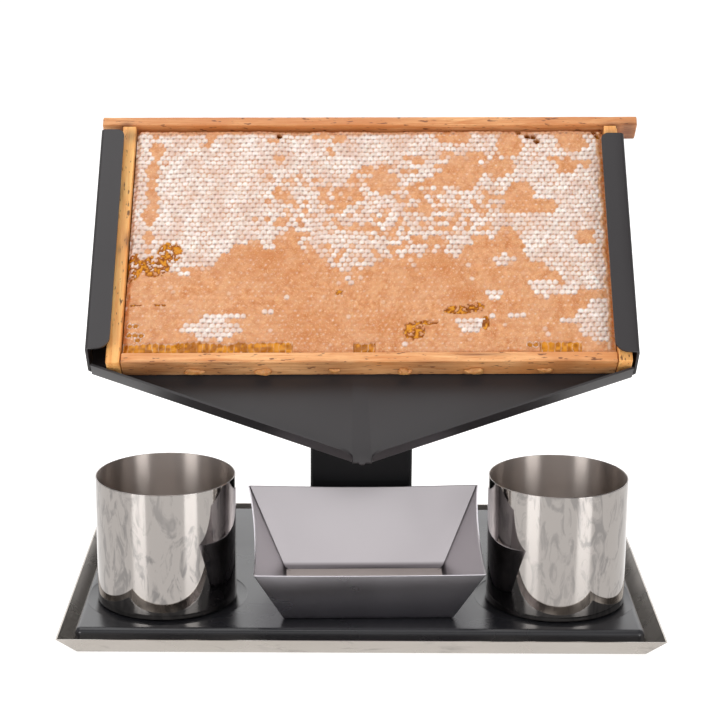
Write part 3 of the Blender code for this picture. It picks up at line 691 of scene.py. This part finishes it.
def fold_side(shape, side, columns, gutter_from, half, behind, bend):
    """One half of the holder's outer surface. Returns the column at the tip."""
    gutter_rows = quarter((0.0, 0.0), bend, 180.0, 270.0, 6)[1:]
    grid = []
    for index, (x, n, bottom, ceiling) in enumerate(columns):
        points = [(side * x, ceiling, n), (side * x, bottom, n)]
        if index >= gutter_from:
            edge = v_edge(x, half)
            depth = GUTTER_DEPTH - GUTTER_CORNER * arc_rise((TIP_HALF + GUTTER_CORNER - x) / GUTTER_CORNER)
            points += [(side * x, edge + bend + b, behind + bend + a) for a, b in gutter_rows]
            points.append((side * x, edge, depth))
        grid.append([shape.verts.new(point) for point in points])
    for left, right in zip(grid, grid[1:]):
        for row in range(min(len(left), len(right)) - 1):
            shape.faces.new((left[row], left[row + 1], right[row + 1], right[row]))
    return grid[-1]


def make_holder(material):
    """One folded sheet: its outer surface as a grid of columns, then thickened inwards."""
    low, high = local_box("comb_holder", HOLDER)
    half, front, behind = high.x, high.z, low.z
    bend = BEND_RADIUS + HOLDER_SHEET * 0.5
    columns, gutter_from = holder_columns(half, front, behind, bend)
    shape = bmesh.new()
    left_end, right_end = (fold_side(shape, side, columns, gutter_from, half, behind, bend)
                           for side in (-1.0, 1.0))
    tip = v_edge(TIP_HALF, half)
    outline = [(TIP_HALF - 0.6 * MM, tip)]
    outline += [(NOSE_HALF * math.cos(math.radians(angle)), tip - NOSE_DROP * math.sin(math.radians(angle)))
                for angle in range(0, 181, 20)]
    outline += [(0.6 * MM - TIP_HALF, tip)]
    nose = [shape.verts.new((x, s, behind)) for x, s in outline]
    shape.faces.new([right_end[0], right_end[1]] + nose + [left_end[1], left_end[0]])
    bmesh.ops.recalc_face_normals(shape, faces=shape.faces)
    mesh = bpy.data.meshes.new("holder_sheet")
    shape.to_mesh(mesh)
    shape.free()
    if mesh.polygons[0].normal.z < 0.0:
        mesh.flip_normals()
    holder = add_object(mesh, HOLDER)
    solid = holder.modifiers.new("Thickness", "SOLIDIFY")
    solid.thickness = HOLDER_SHEET
    solid.offset = -1.0
    solid.use_even_offset = True
    apply_modifiers(holder)
    holder.data.set_sharp_from_angle(angle=math.radians(35.0))
    add_bevel(holder, 0.3 * MM, 2, 50.0)
    finish_piece(holder, "stand", "black_coat", material, "comb_holder")


# ---------------- wooden frame

# Soiled stretches of each bar as (along, half length, level, half height, strength). along runs from 0 to
# 1, and level from -1 at the bar's low side, or a side bar's left, to 1 at the other.
SOIL = {
    "top_bar": [(0.045, 0.012, -0.9, 0.8, 0.9), (0.985, 0.02, -1.0, 0.9, 0.9),
                (0.955, 0.02, -1.0, 0.5, 0.9)],
    "bottom_bar": [(0.06, 0.08, -1.0, 0.3, 0.7), (0.2, 0.06, -0.95, 0.2, 0.5),
                   (0.72, 0.05, 0.45, 0.3, 0.9), (0.42, 0.06, -0.95, 0.2, 0.5),
                   (0.62, 0.06, -1.0, 0.2, 0.5), (0.9, 0.05, -0.9, 0.2, 0.5)],
    "left_side_bar": [(0.7, 0.05, -0.8, 0.6, 0.8), (0.5, 0.03, 0.9, 0.5, 0.8),
                      (0.955, 0.03, 0.3, 0.9, 0.8), (0.46, 0.02, -0.2, 0.3, 0.6)],
    "right_side_bar": [(0.95, 0.03, 0.0, 1.0, 0.8)],
}


def shrunk_box(node, inset):
    low, high = frame_box(node)
    return low + Vector((inset,) * 3), high - Vector((inset,) * 3)


def soil_at(node, share, level):
    soil = [strength * math.exp(-((share - at) / length) ** 2 - ((level - up) / height) ** 2)
            for at, length, up, height, strength in SOIL.get(node, [])]
    return max(soil + [0.0])


def make_bar(name, node, along, seed, material):
    """A planed bar with worn corners, a little uneven along its length. along is 0 for x and 1 for s."""
    low, high = shrunk_box(node, 0.25 * MM)
    across = 1 - along
    centre, half = (low + high) / 2.0, (high - low) / 2.0
    count = int((high[along] - low[along]) / BAR_STEP)
    outline = densify(rounded_ring(half[across], half.z, 0.9 * MM, 0.0, steps=3), BAR_STEP)
    shares = [0.0] + [step / count for step in range(count + 1)] + [1.0]
    rings, soil = [], []
    for index, share in enumerate(shares):
        end = index in (0, len(shares) - 1)
        place = low[along] + (high[along] - low[along]) * share
        if not end:
            place = min(max(place, low[along] + 0.7 * MM), high[along] - 0.7 * MM)
        ring = []
        for point in outline:
            angle = math.atan2(point.y / half.z, point.x / half[across])
            wear = float(value_noise(place, angle * 6.0 * MM, 9.0 * MM, seed))
            wear += 0.5 * float(value_noise(place, angle * 6.0 * MM, 3.5 * MM, seed + 1))
            scale = 1.0 - BAR_WEAR * (0.6 - 0.4 * wear) / half.z - (0.5 * MM / half[across] if end else 0.0)
            values = [0.0, 0.0, centre.z + point.y * scale]
            values[along] = place
            values[across] = centre[across] + point.x * scale
            ring.append(Vector(values))
            soil.append(soil_at(node, share, point.x / half[across]))
        rings.append(ring)
    mesh = loft(name, rings)
    add_layer(mesh, "soil", soil)
    finish_piece(add_to_frame(mesh), "comb_frame", "pine", material, node)


def densify(ring, spacing):
    """The same ring with points no further apart than about the spacing."""
    result = []
    for index, point in enumerate(ring):
        following = ring[(index + 1) % len(ring)]
        pieces = max(1, int((following - point).length / spacing))
        result += [point.lerp(following, piece / pieces) for piece in range(pieces)]
    return result


# ---------------- comb

# Where white cappings give way to tan ones, as (across, up) in shares of the comb's face
SHORE = [(0.0, 0.33), (0.09, 0.36), (0.175, 0.365), (0.2, 0.43), (0.238, 0.485), (0.29, 0.45),
         (0.345, 0.455), (0.387, 0.4), (0.447, 0.363), (0.494, 0.33), (0.52, 0.42), (0.6, 0.43),
         (0.63, 0.45), (0.68, 0.44), (0.72, 0.5), (0.815, 0.49), (0.834, 0.4), (0.87, 0.36),
         (0.91, 0.29), (1.0, 0.28)]
# Share of white cells above that line, as (across, share)
WHITENESS = [(0.0, 1.12), (0.2, 1.12), (0.26, 0.92), (0.32, 0.74), (0.5, 0.66), (0.6, 0.64), (0.72, 0.66),
             (0.8, 0.84), (0.86, 0.98), (1.0, 1.0)]
# Patches as (across, up, half width, half height, strength). A positive strength is whiter and a
# negative one is more tan.
PATCHES = [
    (0.36, 0.93, 0.3, 0.09, 0.3), (0.6, 0.95, 0.2, 0.05, 0.25),
    (0.105, 0.97, 0.012, 0.025, -0.8), (0.16, 0.96, 0.03, 0.045, -0.9), (0.2, 0.99, 0.035, 0.016, -0.9),
    (0.285, 0.96, 0.022, 0.012, -0.9), (0.395, 0.975, 0.022, 0.02, -1.0), (0.43, 0.965, 0.022, 0.016, -0.9),
    (0.408, 0.9, 0.014, 0.02, -0.9), (0.305, 0.865, 0.012, 0.018, -0.7), (0.045, 0.88, 0.016, 0.07, -0.6),
    (0.43, 0.68, 0.05, 0.065, -0.42), (0.35, 0.66, 0.022, 0.024, -0.35), (0.31, 0.71, 0.018, 0.024, -0.4),
    (0.315, 0.58, 0.018, 0.02, -0.4), (0.345, 0.53, 0.018, 0.03, -0.4), (0.5, 0.79, 0.025, 0.04, -0.35),
    (0.32, 0.485, 0.022, 0.022, -0.5), (0.485, 0.56, 0.03, 0.03, -0.25), (0.525, 0.77, 0.028, 0.05, -0.4),
    (0.61, 0.68, 0.035, 0.075, -0.3), (0.6, 0.87, 0.028, 0.02, -0.5), (0.67, 0.885, 0.038, 0.02, -0.55),
    (0.7, 0.8, 0.036, 0.07, -1.1), (0.66, 0.765, 0.034, 0.03, -0.9), (0.775, 0.83, 0.028, 0.04, -1.0),
    (0.815, 0.69, 0.032, 0.075, -1.3), (0.865, 0.65, 0.032, 0.03, -1.1), (0.8, 0.93, 0.026, 0.05, -1.2),
    (0.675, 0.965, 0.036, 0.026, -1.2), (0.93, 0.95, 0.034, 0.04, -1.1), (0.92, 0.84, 0.022, 0.036, -1.0),
    (0.96, 0.84, 0.012, 0.03, -0.9), (0.95, 0.51, 0.022, 0.035, -1.0), (0.89, 0.87, 0.016, 0.016, -0.8),
    (0.79, 0.5, 0.03, 0.05, -0.4), (0.62, 0.49, 0.04, 0.03, -0.3), (0.038, 0.7, 0.008, 0.3, -1.4),
    (0.175, 0.11, 0.052, 0.05, 1.0), (0.2, 0.168, 0.045, 0.012, 1.0), (0.34, 0.19, 0.006, 0.012, 1.3),
    (0.29, 0.175, 0.016, 0.01, 0.8), (0.112, 0.335, 0.008, 0.012, 1.2), (0.755, 0.25, 0.022, 0.026, 1.4),
    (0.86, 0.28, 0.03, 0.036, 1.3), (0.905, 0.265, 0.022, 0.02, 1.0), (0.785, 0.4, 0.022, 0.026, 1.0),
    (0.975, 0.14, 0.045, 0.09, 1.5), (0.915, 0.145, 0.018, 0.012, 1.0), (0.795, 0.155, 0.022, 0.01, 1.0),
    (0.745, 0.155, 0.01, 0.01, 1.0), (0.68, 0.44, 0.02, 0.025, 0.8), (0.605, 0.455, 0.012, 0.03, 0.8),
    (0.7, 0.125, 0.03, 0.035, 1.0), (0.55, 0.4, 0.05, 0.03, 0.3), (0.47, 0.33, 0.03, 0.03, 0.3),
]
# Deeper orange stretches of the tan cappings, as (across, up, half width, half height)
DEEP = [(0.29, 0.42, 0.08, 0.05), (0.33, 0.36, 0.1, 0.06), (0.37, 0.12, 0.06, 0.12),
        (0.64, 0.36, 0.06, 0.06), (0.695, 0.25, 0.03, 0.04), (0.52, 0.12, 0.05, 0.05)]
# Broken cappings where honey shows, as (across, up, half width, half height)
BROKEN = [(0.055, 0.38, 0.032, 0.045), (0.085, 0.44, 0.024, 0.045), (0.006, 0.375, 0.02, 0.055),
          (0.012, 0.42, 0.01, 0.02), (0.685, 0.188, 0.034, 0.018), (0.715, 0.2, 0.02, 0.022),
          (0.59, 0.1, 0.022, 0.04), (0.737, 0.13, 0.008, 0.03), (0.437, 0.265, 0.008, 0.012),
          (0.62, 0.135, 0.02, 0.01), (0.02, 0.21, 0.018, 0.005), (0.07, 0.212, 0.016, 0.005)]
# Single open cells, as (across, up): deep ones, and shallow ones with a pale rim
OPEN = [(0.31, 0.975), (0.823, 0.985), (0.838, 0.985), (0.851, 0.985), (0.86, 0.96), (0.98, 0.985),
        (0.99, 0.985)]
RIMMED = [(0.016, 0.115), (0.029, 0.12), (0.012, 0.085), (0.024, 0.09), (0.036, 0.09), (0.03, 0.065),
          (0.12, 0.045), (0.823, 0.04), (0.838, 0.04)]
# Stretches of the lowest rows where the cells stand open, as (from, to) across
OPEN_FOOT = [(0.0, 0.345), (0.468, 0.512), (0.845, 0.93)]


def cell_lattice(width, height):
    """Centres of the cells: level rows, each moved half a cell from the row below."""
    centres = []
    for row in range(-1, int(height / ROW_PITCH) + 2):
        for column in range(-1, int(width / CELL_PITCH) + 2):
            centres.append(((column + 0.5 * (row % 2)) * CELL_PITCH, row * ROW_PITCH))
    return np.array(centres)


def nearest_cell(x, y, width):
    """Index into cell_lattice and distance to that cell's centre, for each point."""
    columns = int(width / CELL_PITCH) + 3
    best = np.full(x.shape, 1e9)
    found = np.zeros(x.shape, int)
    row0 = np.floor(y / ROW_PITCH).astype(int)
    for step in (0, 1):
        row = row0 + step
        shift = 0.5 * (row % 2)
        column = np.round(x / CELL_PITCH - shift).astype(int)
        cx, cy = (column + shift) * CELL_PITCH, row * ROW_PITCH
        distance = np.hypot(x - cx, y - cy)
        index = (row + 1) * columns + column + 1
        closer = distance < best
        best = np.where(closer, distance, best)
        found = np.where(closer, index, found)
    return found, best


def spot(u, v, place):
    """1 inside an ellipse given as (across, up, half width, half height), fading to 0 outside it."""
    reach = ((u - place[0]) / place[2]) ** 2 + ((v - place[1]) / place[3]) ** 2
    return 1.0 - smooth(0.45, 1.6, reach)


def white_share(u, v, seed):
    """The share of white cells around a place. Patches may take it past 0 or 1."""
    shore = np.interp(u, [place[0] for place in SHORE], [place[1] for place in SHORE])
    level = np.interp(u, [place[0] for place in WHITENESS], [place[1] for place in WHITENESS])
    wobble = 0.022 * value_noise(u * 1.85, v, 0.045, seed)
    share = 0.02 + (level - 0.02) * smooth(-0.015, 0.025, v + wobble - shore)
    for patch in PATCHES:
        share = share + patch[4] * spot(u + 0.4 * wobble, v, patch)
    return share


def comb_cells(width, height, seed):
    """Centres, whiteness and random size of every cell."""
    centres = cell_lattice(width, height)
    u, v = centres[:, 0] / width, centres[:, 1] / height
    random = np.random.RandomState(seed)
    spread = random.uniform(-1.0, 1.0, len(centres))
    clusters = value_noise(centres[:, 0], centres[:, 1], 8.0 * MM, seed + 1)
    threshold = 0.5 + 0.36 * spread + 0.22 * clusters
    white = smooth(threshold - 0.15, threshold + 0.15, white_share(u, v, seed))
    return centres, white, random.uniform(0.0, 1.0, len(centres))


def single_cells(centres, width, height, places):
    """1 for the cells nearest to some places, else 0."""
    chosen = np.zeros(len(centres))
    for across, up in places:
        chosen[np.argmin(np.hypot(centres[:, 0] - across * width, centres[:, 1] - up * height))] = 1.0
    return chosen


class CombFace:
    """The face at each point of a grid: its cell, and the open, torn and lowest places around it."""

    def __init__(self, x, y, width, height, seed):
        self.x, self.y, self.width, self.height, self.seed = x, y, width, height, seed
        self.u, self.v = x / width, y / height
        lx, ly = x + 1.0 * MM * self.noise(38.0, 3), y + 0.9 * MM * self.noise(30.0, 4)
        centres, cell_white, size = comb_cells(width, height, seed)
        cell, distance = nearest_cell(lx, ly, width)
        cell = np.clip(cell, 0, len(centres) - 1)
        self.r = distance / CELL_RADIUS + 0.15 * self.noise(1.7, 14)
        self.dx, self.dy = lx - centres[cell, 0], ly - centres[cell, 1]
        self.capped, self.size = cell_white[cell], size[cell]
        self.hole = single_cells(centres, width, height, OPEN)[cell]
        self.rimmed = single_cells(centres, width, height, RIMMED)[cell]
        self.well = smooth(0.98, 0.72, self.r)
        self.ragged = 0.5 + 0.5 * self.noise(1.5, 9)
        self.torn = 0.9 * self.noise(3.4, 11) + 0.9 * self.noise(1.7, 12)
        self.wavy = 1.2 * MM * self.noise(8.0, 10)
        self.broken = np.zeros(self.u.shape)
        for place in BROKEN:
            reach = spot(self.u, self.v, place) * (1.0 + 1.3 * self.torn)
            self.broken = np.maximum(self.broken, smooth(0.42, 0.6, reach))
        self.open_foot(lx)

    def noise(self, size, step):
        """Value noise with patches of size mm, and a seed of its own for each step."""
        return value_noise(self.x, self.y, size * MM, self.seed + step)

    def open_foot(self, lx):
        """The open cells along the foot, and the wax between and above them."""
        rib = np.abs(np.cos(math.pi * (lx + 1.1 * MM * self.noise(7.0, 15)) / CELL_PITCH))
        top = (11.0 + 1.3 * (1.0 - rib) + 1.7 * self.noise(9.0, 5)) * MM
        self.foot = np.zeros(self.u.shape)
        for start, end in OPEN_FOOT:
            inside = (self.u > start) & (self.u < end)
            self.foot = np.maximum(self.foot, inside * smooth(0.4 * MM, -0.4 * MM, self.y - top))
        worn = smooth(-0.35, 0.45, self.noise(6.0, 16))
        rib = smooth(0.955, 0.99, rib) * (0.25 + 0.75 * self.ragged) * (0.3 + 0.7 * worn)
        arch = smooth(1.0 * MM, 0.15 * MM, np.abs(self.y - top)) * self.foot * (0.3 + 0.7 * self.ragged)
        self.foot_wax = np.maximum(rib, arch)

    def surface(self):
        """Height of each point over the outer face of its CAD box: 0 or less once clipped."""
        dome = (0.5 + 0.4 * self.size) * MM * (0.35 + 0.65 * self.capped)
        surface = dome * (1.0 - np.clip(self.r, 0.0, 1.15) ** 2.2)
        surface += 0.32 * MM * self.noise(2.2, 6) * (1.0 - 0.5 * self.capped)
        surface += 0.9 * MM * self.noise(26.0, 7) + 0.5 * MM * self.noise(9.0, 8)
        surface -= (4.5 * self.hole + 1.3 * self.rimmed) * MM * self.well
        surface += 0.8 * np.maximum(self.hole, self.rimmed) * MM * (1.0 - self.well)
        surface -= self.broken * (0.4 + 1.3 * self.ragged) * MM
        surface -= self.foot * (0.3 + 1.2 * (1.0 - self.foot_wax)) * MM
        edge_x, edge_y = np.minimum(self.x, self.width - self.x), np.minimum(self.y, self.height - self.y)
        surface -= 3.4 * MM * (1.0 - smooth(0.0, 4.5 * MM, edge_x + self.wavy))
        surface -= 1.6 * MM * (1.0 - smooth(0.0, 2.5 * MM, edge_y + self.wavy)) + 1.6 * MM
        return surface

    def colours(self):
        """The attributes that capped_comb reads, each from 0 to 1."""
        capped, size, well = self.capped, self.size, self.well
        spots = smooth(1.15, 0.65, self.r / ((0.62 + 0.55 * capped) * (0.84 + 0.28 * size)))
        head = smooth(6.0 * MM, 3.0 * MM, self.height - self.y + 2.0 * self.wavy)
        white = capped * spots * (1.0 - 0.85 * head)
        # Painted highlight: a light spot near the top of each tan cell, added to the white attribute.
        glint = smooth(0.5, 0.1, np.hypot(self.dx, self.dy - 0.9 * MM) / CELL_RADIUS)
        glint = (1.0 - capped) * glint * smooth(0.45, 1.0, size)
        white = np.clip(np.maximum(white, 0.5 * glint), 0.0, 1.0)
        # Painted shadow: a dark dash along the lower edge of each white capping, and painted shade in the
        # grooves between cappings.
        cap_shadow = np.exp(-(self.dx / (1.45 * MM)) ** 2 - ((self.dy + 2.1 * MM) / (0.62 * MM)) ** 2)
        comb_shade = cap_shadow * capped * (0.35 + 0.65 * size) + 0.22 * smooth(0.8, 1.1, self.r) * (0.3 + 0.7 * capped)
        right_edge = smooth(7.0 * MM, 5.0 * MM, self.width - self.x + 1.5 * self.wavy)
        honey = np.maximum.reduce([self.broken, self.foot * (1.0 - 0.8 * self.foot_wax), self.rimmed * well,
                                   self.hole * well, 0.8 * right_edge * (0.4 + 0.6 * self.ragged)])
        # Lighter amber where honey shows: the honey's own paler tone at the pale-rimmed cells and the right
        # edge, and painted highlights in glossy patches on the foot and in the broken cappings.
        glossy = smooth(-0.4, 0.5, self.noise(3.0, 17))
        light = np.maximum.reduce([self.foot * (0.25 + 0.75 * glossy), self.rimmed * 0.6, right_edge * 0.8,
                                   self.broken * smooth(0.1, 0.7, self.torn)])
        white = np.where(honey > 0.3, light, white)
        white = np.maximum(white, np.maximum(self.rimmed * (1.0 - well), self.foot * self.foot_wax))
        # Painted shade also darkens the deep open cells.
        comb_shade = np.clip(np.maximum(comb_shade * (1.0 - honey), self.hole * well), 0.0, 1.0)
        return {"white": white, "honey": np.clip(honey, 0.0, 1.0), "comb_shade": comb_shade, "deep": self.deep(head)}

    def deep(self, head):
        deep = 0.25 * head
        patchy = 0.75 + 0.5 * self.noise(14.0, 13)
        for across, up, half_u, half_v in DEEP:
            reach = ((self.u - across) / half_u) ** 2 + ((self.v - up) / half_v) ** 2
            deep = np.maximum(deep, np.exp(-0.9 * reach) * patchy)
        return deep


def make_comb(name, node, facing, spacing, seed, material):
    """The comb's face as a height field: domed cappings, open cells, and edges that round back."""
    low, high = shrunk_box(node, 0.2 * MM)
    width, height, depth = high - low
    across, up = int(width / spacing), int(height / spacing)
    x, y = np.meshgrid(np.linspace(0.0, width, across + 1), np.linspace(0.0, height, up + 1))
    comb_face = CombFace(x, y, width, height, seed)
    surface = np.clip(comb_face.surface(), 0.6 * MM - depth, 0.0)
    outer, back = (high.z, low.z) if facing > 0.0 else (low.z, high.z)
    face = np.stack([x + low.x, y + low.y, outer + facing * surface], -1).reshape(-1, 3)
    rim = np.array(list(range(across))
                   + [row * (across + 1) + across for row in range(up)]
                   + [up * (across + 1) + column for column in range(across, 0, -1)]
                   + [row * (across + 1) for row in range(up, 0, -1)])
    behind = face[rim].copy()
    behind[:, 2] = back
    corner = (np.arange(up)[:, None] * (across + 1) + np.arange(across)[None, :]).reshape(-1)
    quads = np.stack([corner, corner + 1, corner + across + 2, corner + across + 1], -1)
    order = np.arange(len(rim))
    after = (order + 1) % len(rim)
    walls = np.stack([rim, len(face) + order, len(face) + after, rim[after]], -1)
    cap = np.arange(len(face) + len(rim) - 1, len(face) - 1, -1)
    if facing < 0.0:
        quads, walls, cap = quads[:, ::-1], walls[:, ::-1], cap[::-1]
    mesh = bpy.data.meshes.new(name)
    faces = quads.tolist() + walls.tolist() + [cap.tolist()]
    mesh.from_pydata(np.concatenate([face, behind]).tolist(), [], faces)
    for label, values in comb_face.colours().items():
        flat = values.reshape(-1)
        add_layer(mesh, label, np.concatenate([flat, flat[rim]]).astype(np.float32))
    comb = add_to_frame(mesh, crease=70.0)
    finish_piece(comb, "comb_frame", "capped_comb", material, node)


def make_foundation(material):
    low, high = frame_box("foundation")
    inset = 0.05 * MM
    rings = []
    for n in (low.z + inset, high.z - inset):
        rings.append([Vector((low.x, low.y, n)), Vector((high.x, low.y, n)),
                      Vector((high.x, high.y, n)), Vector((low.x, high.y, n))])
    sheet = add_to_frame(loft("foundation_sheet", rings))
    finish_piece(sheet, "comb_frame", "beeswax", material, "foundation")


def make_wax_bead(index, material):
    """A lump of wax hanging under the bottom bar."""
    node = f"wax_bead_{index}"
    low, high = local_box(node, COMB)
    centre, half = (low + high) / 2.0, (high - low) / 2.0
    rings = []
    for level in range(7):
        drop = level / 6.0
        reach = math.sqrt(max(0.0, 1.0 - drop ** 2.2)) * 0.92 + 0.06
        ring = []
        for step in range(28):
            angle = 2.0 * math.pi * step / 28.0
            bump = 1.0 + 0.18 * math.sin(3.0 * angle + index * 2.1 + drop)
            bump += 0.10 * math.sin(7.0 * angle + index * 1.3 + 2.0 * drop)
            ring.append(Vector((centre.x + half.x * reach * bump * 0.5 * math.cos(angle),
                                high.y - (high.y - low.y) * drop,
                                centre.z + half.z * reach * bump * 0.85 * math.sin(angle))))
        rings.append(ring)
    bead = add_object(loft(f"wax_lump_{index}", rings), COMB, crease=80.0)
    finish_piece(bead, "comb_frame", "beeswax", material, node)


# ---------------- carried-over CAD nodes

def dress_node(node, material, bevel):
    """A CAD node's own mesh with a new material and softened edges."""
    thing = frame["nodes"][node]
    thing.data.materials.clear()
    thing.data.materials.append(material)
    add_bevel(thing, bevel)


# ---------------- stage, light and camera

WORLD_COLOUR = (0.995, 0.985, 1.0, 1.0)
WORLD_STRENGTH = 0.52
LIGHT_TARGET = (0.0, 0.0, 0.15)
# Name, place, width and height in metres, and watts
SOFT_BOXES = [
    ("overhead_box", (-0.55, 0.1, 2.2), (2.2, 2.2), 24.0),
    ("left_box", (-1.72, -1.98, 0.72), (1.0, 1.0), 16.0),
    ("right_box", (1.72, -1.98, 0.72), (1.0, 1.0), 16.0),
    ("front_box", (0.0, -2.3, 1.6), (2.4, 1.0), 5.5),
    ("backdrop_box", (0.0, 2.6, 1.1), (4.0, 1.8), 25.0),
]
FLOOR_RADIUS = 9.0
FLOOR_THICKNESS = 0.02
CAMERA_PLACE = Vector((-12.34, -1660.47, 645.11)) * MM
CAMERA_YAW, CAMERA_PITCH, CAMERA_ROLL = math.radians(0.445), math.radians(14.964), math.radians(0.449)
LENS, SENSOR = 99.58, 36.0


def make_stage():
    """A pale floor that glows a little, so that it stays white away from the lights."""
    nodes = Nodes("stage_white")
    tint = nodes.noise(0.8, 2.0, 0.5)
    nodes.set(Base_Color=nodes.mix(tint, (0.32, 0.32, 0.32), (0.35, 0.35, 0.35)), Roughness=0.30,
              Specular_IOR_Level=1.0, Emission_Color=(1.0, 0.985, 0.97, 1.0), Emission_Strength=0.82)
    profile = [(FLOOR_RADIUS, -FLOOR_THICKNESS), (FLOOR_RADIUS, 0.0)]
    floor = add_object(turned("floor", profile, 64))
    floor.data.materials.append(nodes.material)


def add_area(name, place, size, power):
    light = bpy.data.lights.new(name, "AREA")
    light.shape = "RECTANGLE"
    light.size, light.size_y = size
    light.energy = power
    lamp = link_object(name, light)
    lamp.location = place
    lamp.rotation_euler = (Vector(LIGHT_TARGET) - Vector(place)).to_track_quat("-Z", "Y").to_euler()


def light_scene():
    """A pale world and five soft boxes."""
    world = bpy.data.worlds.new("studio")
    bpy.context.scene.world = world
    world.use_nodes = True
    background = world.node_tree.nodes["Background"]
    background.inputs["Color"].default_value = WORLD_COLOUR
    background.inputs["Strength"].default_value = WORLD_STRENGTH
    for name, place, size, power in SOFT_BOXES:
        add_area(name, place, size, power)
    bpy.context.scene.view_settings.view_transform = "Standard"


def make_camera():
    """Turned by yaw to the right, pitch down and roll about the line of sight."""
    yaw, pitch, roll = CAMERA_YAW, CAMERA_PITCH, CAMERA_ROLL
    forward = Vector((math.sin(yaw) * math.cos(pitch), math.cos(yaw) * math.cos(pitch), -math.sin(pitch)))
    level = Vector((math.cos(yaw), -math.sin(yaw), 0.0))
    upright = level.cross(forward)
    right = math.cos(roll) * level + math.sin(roll) * upright
    up = -math.sin(roll) * level + math.cos(roll) * upright
    data = bpy.data.cameras.new("camera")
    data.lens = LENS
    data.sensor_width = SENSOR
    camera = link_object("camera", data)
    turn = Matrix((right, up, -forward)).transposed().to_4x4()
    camera.matrix_world = Matrix.Translation(CAMERA_PLACE) @ turn
    bpy.context.scene.camera = camera


# ---------------- the whole

def main():
    polished, lining = polished_steel(), cup_lining()
    # Painted light: the holder's copy of the black coat has a raised base colour, to brighten its plate.
    coat = black_coat("black_coat", (0.022, 0.0195, 0.0205), (0.030, 0.0265, 0.028), 0.38, 0.42)
    deck_coat = black_coat("deck_coat", (0.010, 0.010, 0.012), (0.016, 0.016, 0.019), 0.28, 0.5)
    # Painted shade: the column and head bracket get a darker copy of the black coat, for the shade under the
    # leaning plate.
    column_coat = black_coat("column_coat", (0.003, 0.003, 0.004), (0.006, 0.006, 0.007), 0.5, 0.25)
    fastener = small_part("fastener_steel", (180.0, 4.0), srgb(150, 150, 150), srgb(196, 194, 190),
                          (0.25, 0.45), 1.0, (0.2, 0.1 * MM))
    rubber = small_part("foot_rubber", (700.0, 3.0), srgb(22, 22, 23), srgb(40, 40, 41),
                        (0.7, 0.9), 0.0, (0.4, 0.15 * MM))
    wax, comb = beeswax(), capped_comb()
    level_wood = pine("pine_level", "x", srgb(234, 178, 124), srgb(196, 122, 66), srgb(100, 52, 28))
    base_wood = pine("pine_base", "x", srgb(248, 194, 138), srgb(208, 134, 74), srgb(96, 50, 26))
    upright_wood = pine("pine_upright", "s", srgb(252, 200, 124), srgb(234, 156, 80), srgb(84, 44, 26))

    make_tray(tray_steel())
    make_deck(deck_coat)
    make_cup("left_cup_wall", "left_cup", polished, lining)
    make_cup("right_cup_wall", "right_cup", polished, lining)
    make_bowl(bowl_steel("bowl_outside", 0.28, srgb(202, 198, 204), srgb(210, 207, 213)),
              bowl_steel("bowl_inside", 0.38, srgb(202, 196, 199), srgb(210, 205, 207)),
              # Painted light: the bowl's floor gets a matte copy of the steel, paler than the walls, to
              # brighten it in the bowl's shade.
              bowl_steel("bowl_floor_painted_light", 0.5, srgb(226, 212, 206), srgb(238, 225, 219), 0.0))
    make_holder(coat)
    make_bar("top_bar_wood", "top_bar", 0, 11, level_wood)
    make_bar("bottom_bar_wood", "bottom_bar", 0, 12, base_wood)
    make_bar("left_side_wood", "left_side_bar", 1, 13, upright_wood)
    make_bar("right_side_wood", "right_side_bar", 1, 14, upright_wood)
    make_comb("comb_face", "comb_front", 1.0, 0.72 * MM, 5, comb)
    make_comb("comb_rear", "comb_back", -1.0, 1.3 * MM, 8, comb)
    make_foundation(wax)
    for index in range(1, 7):
        make_wax_bead(index, wax)
    for node in frame["nodes"]:
        if node in ("column", "head_bracket"):
            dress_node(node, column_coat, 0.5 * MM)
        elif node == "deck_backing_plate":
            dress_node(node, fastener, 0.4 * MM)
        elif node.startswith("deck_foot"):
            dress_node(node, rubber, 0.4 * MM)
        elif node.startswith(("column_screw", "holder_", "frame_nail")):
            dress_node(node, fastener, 0.15 * MM)
    make_stage()
    light_scene()
    make_camera()


main()
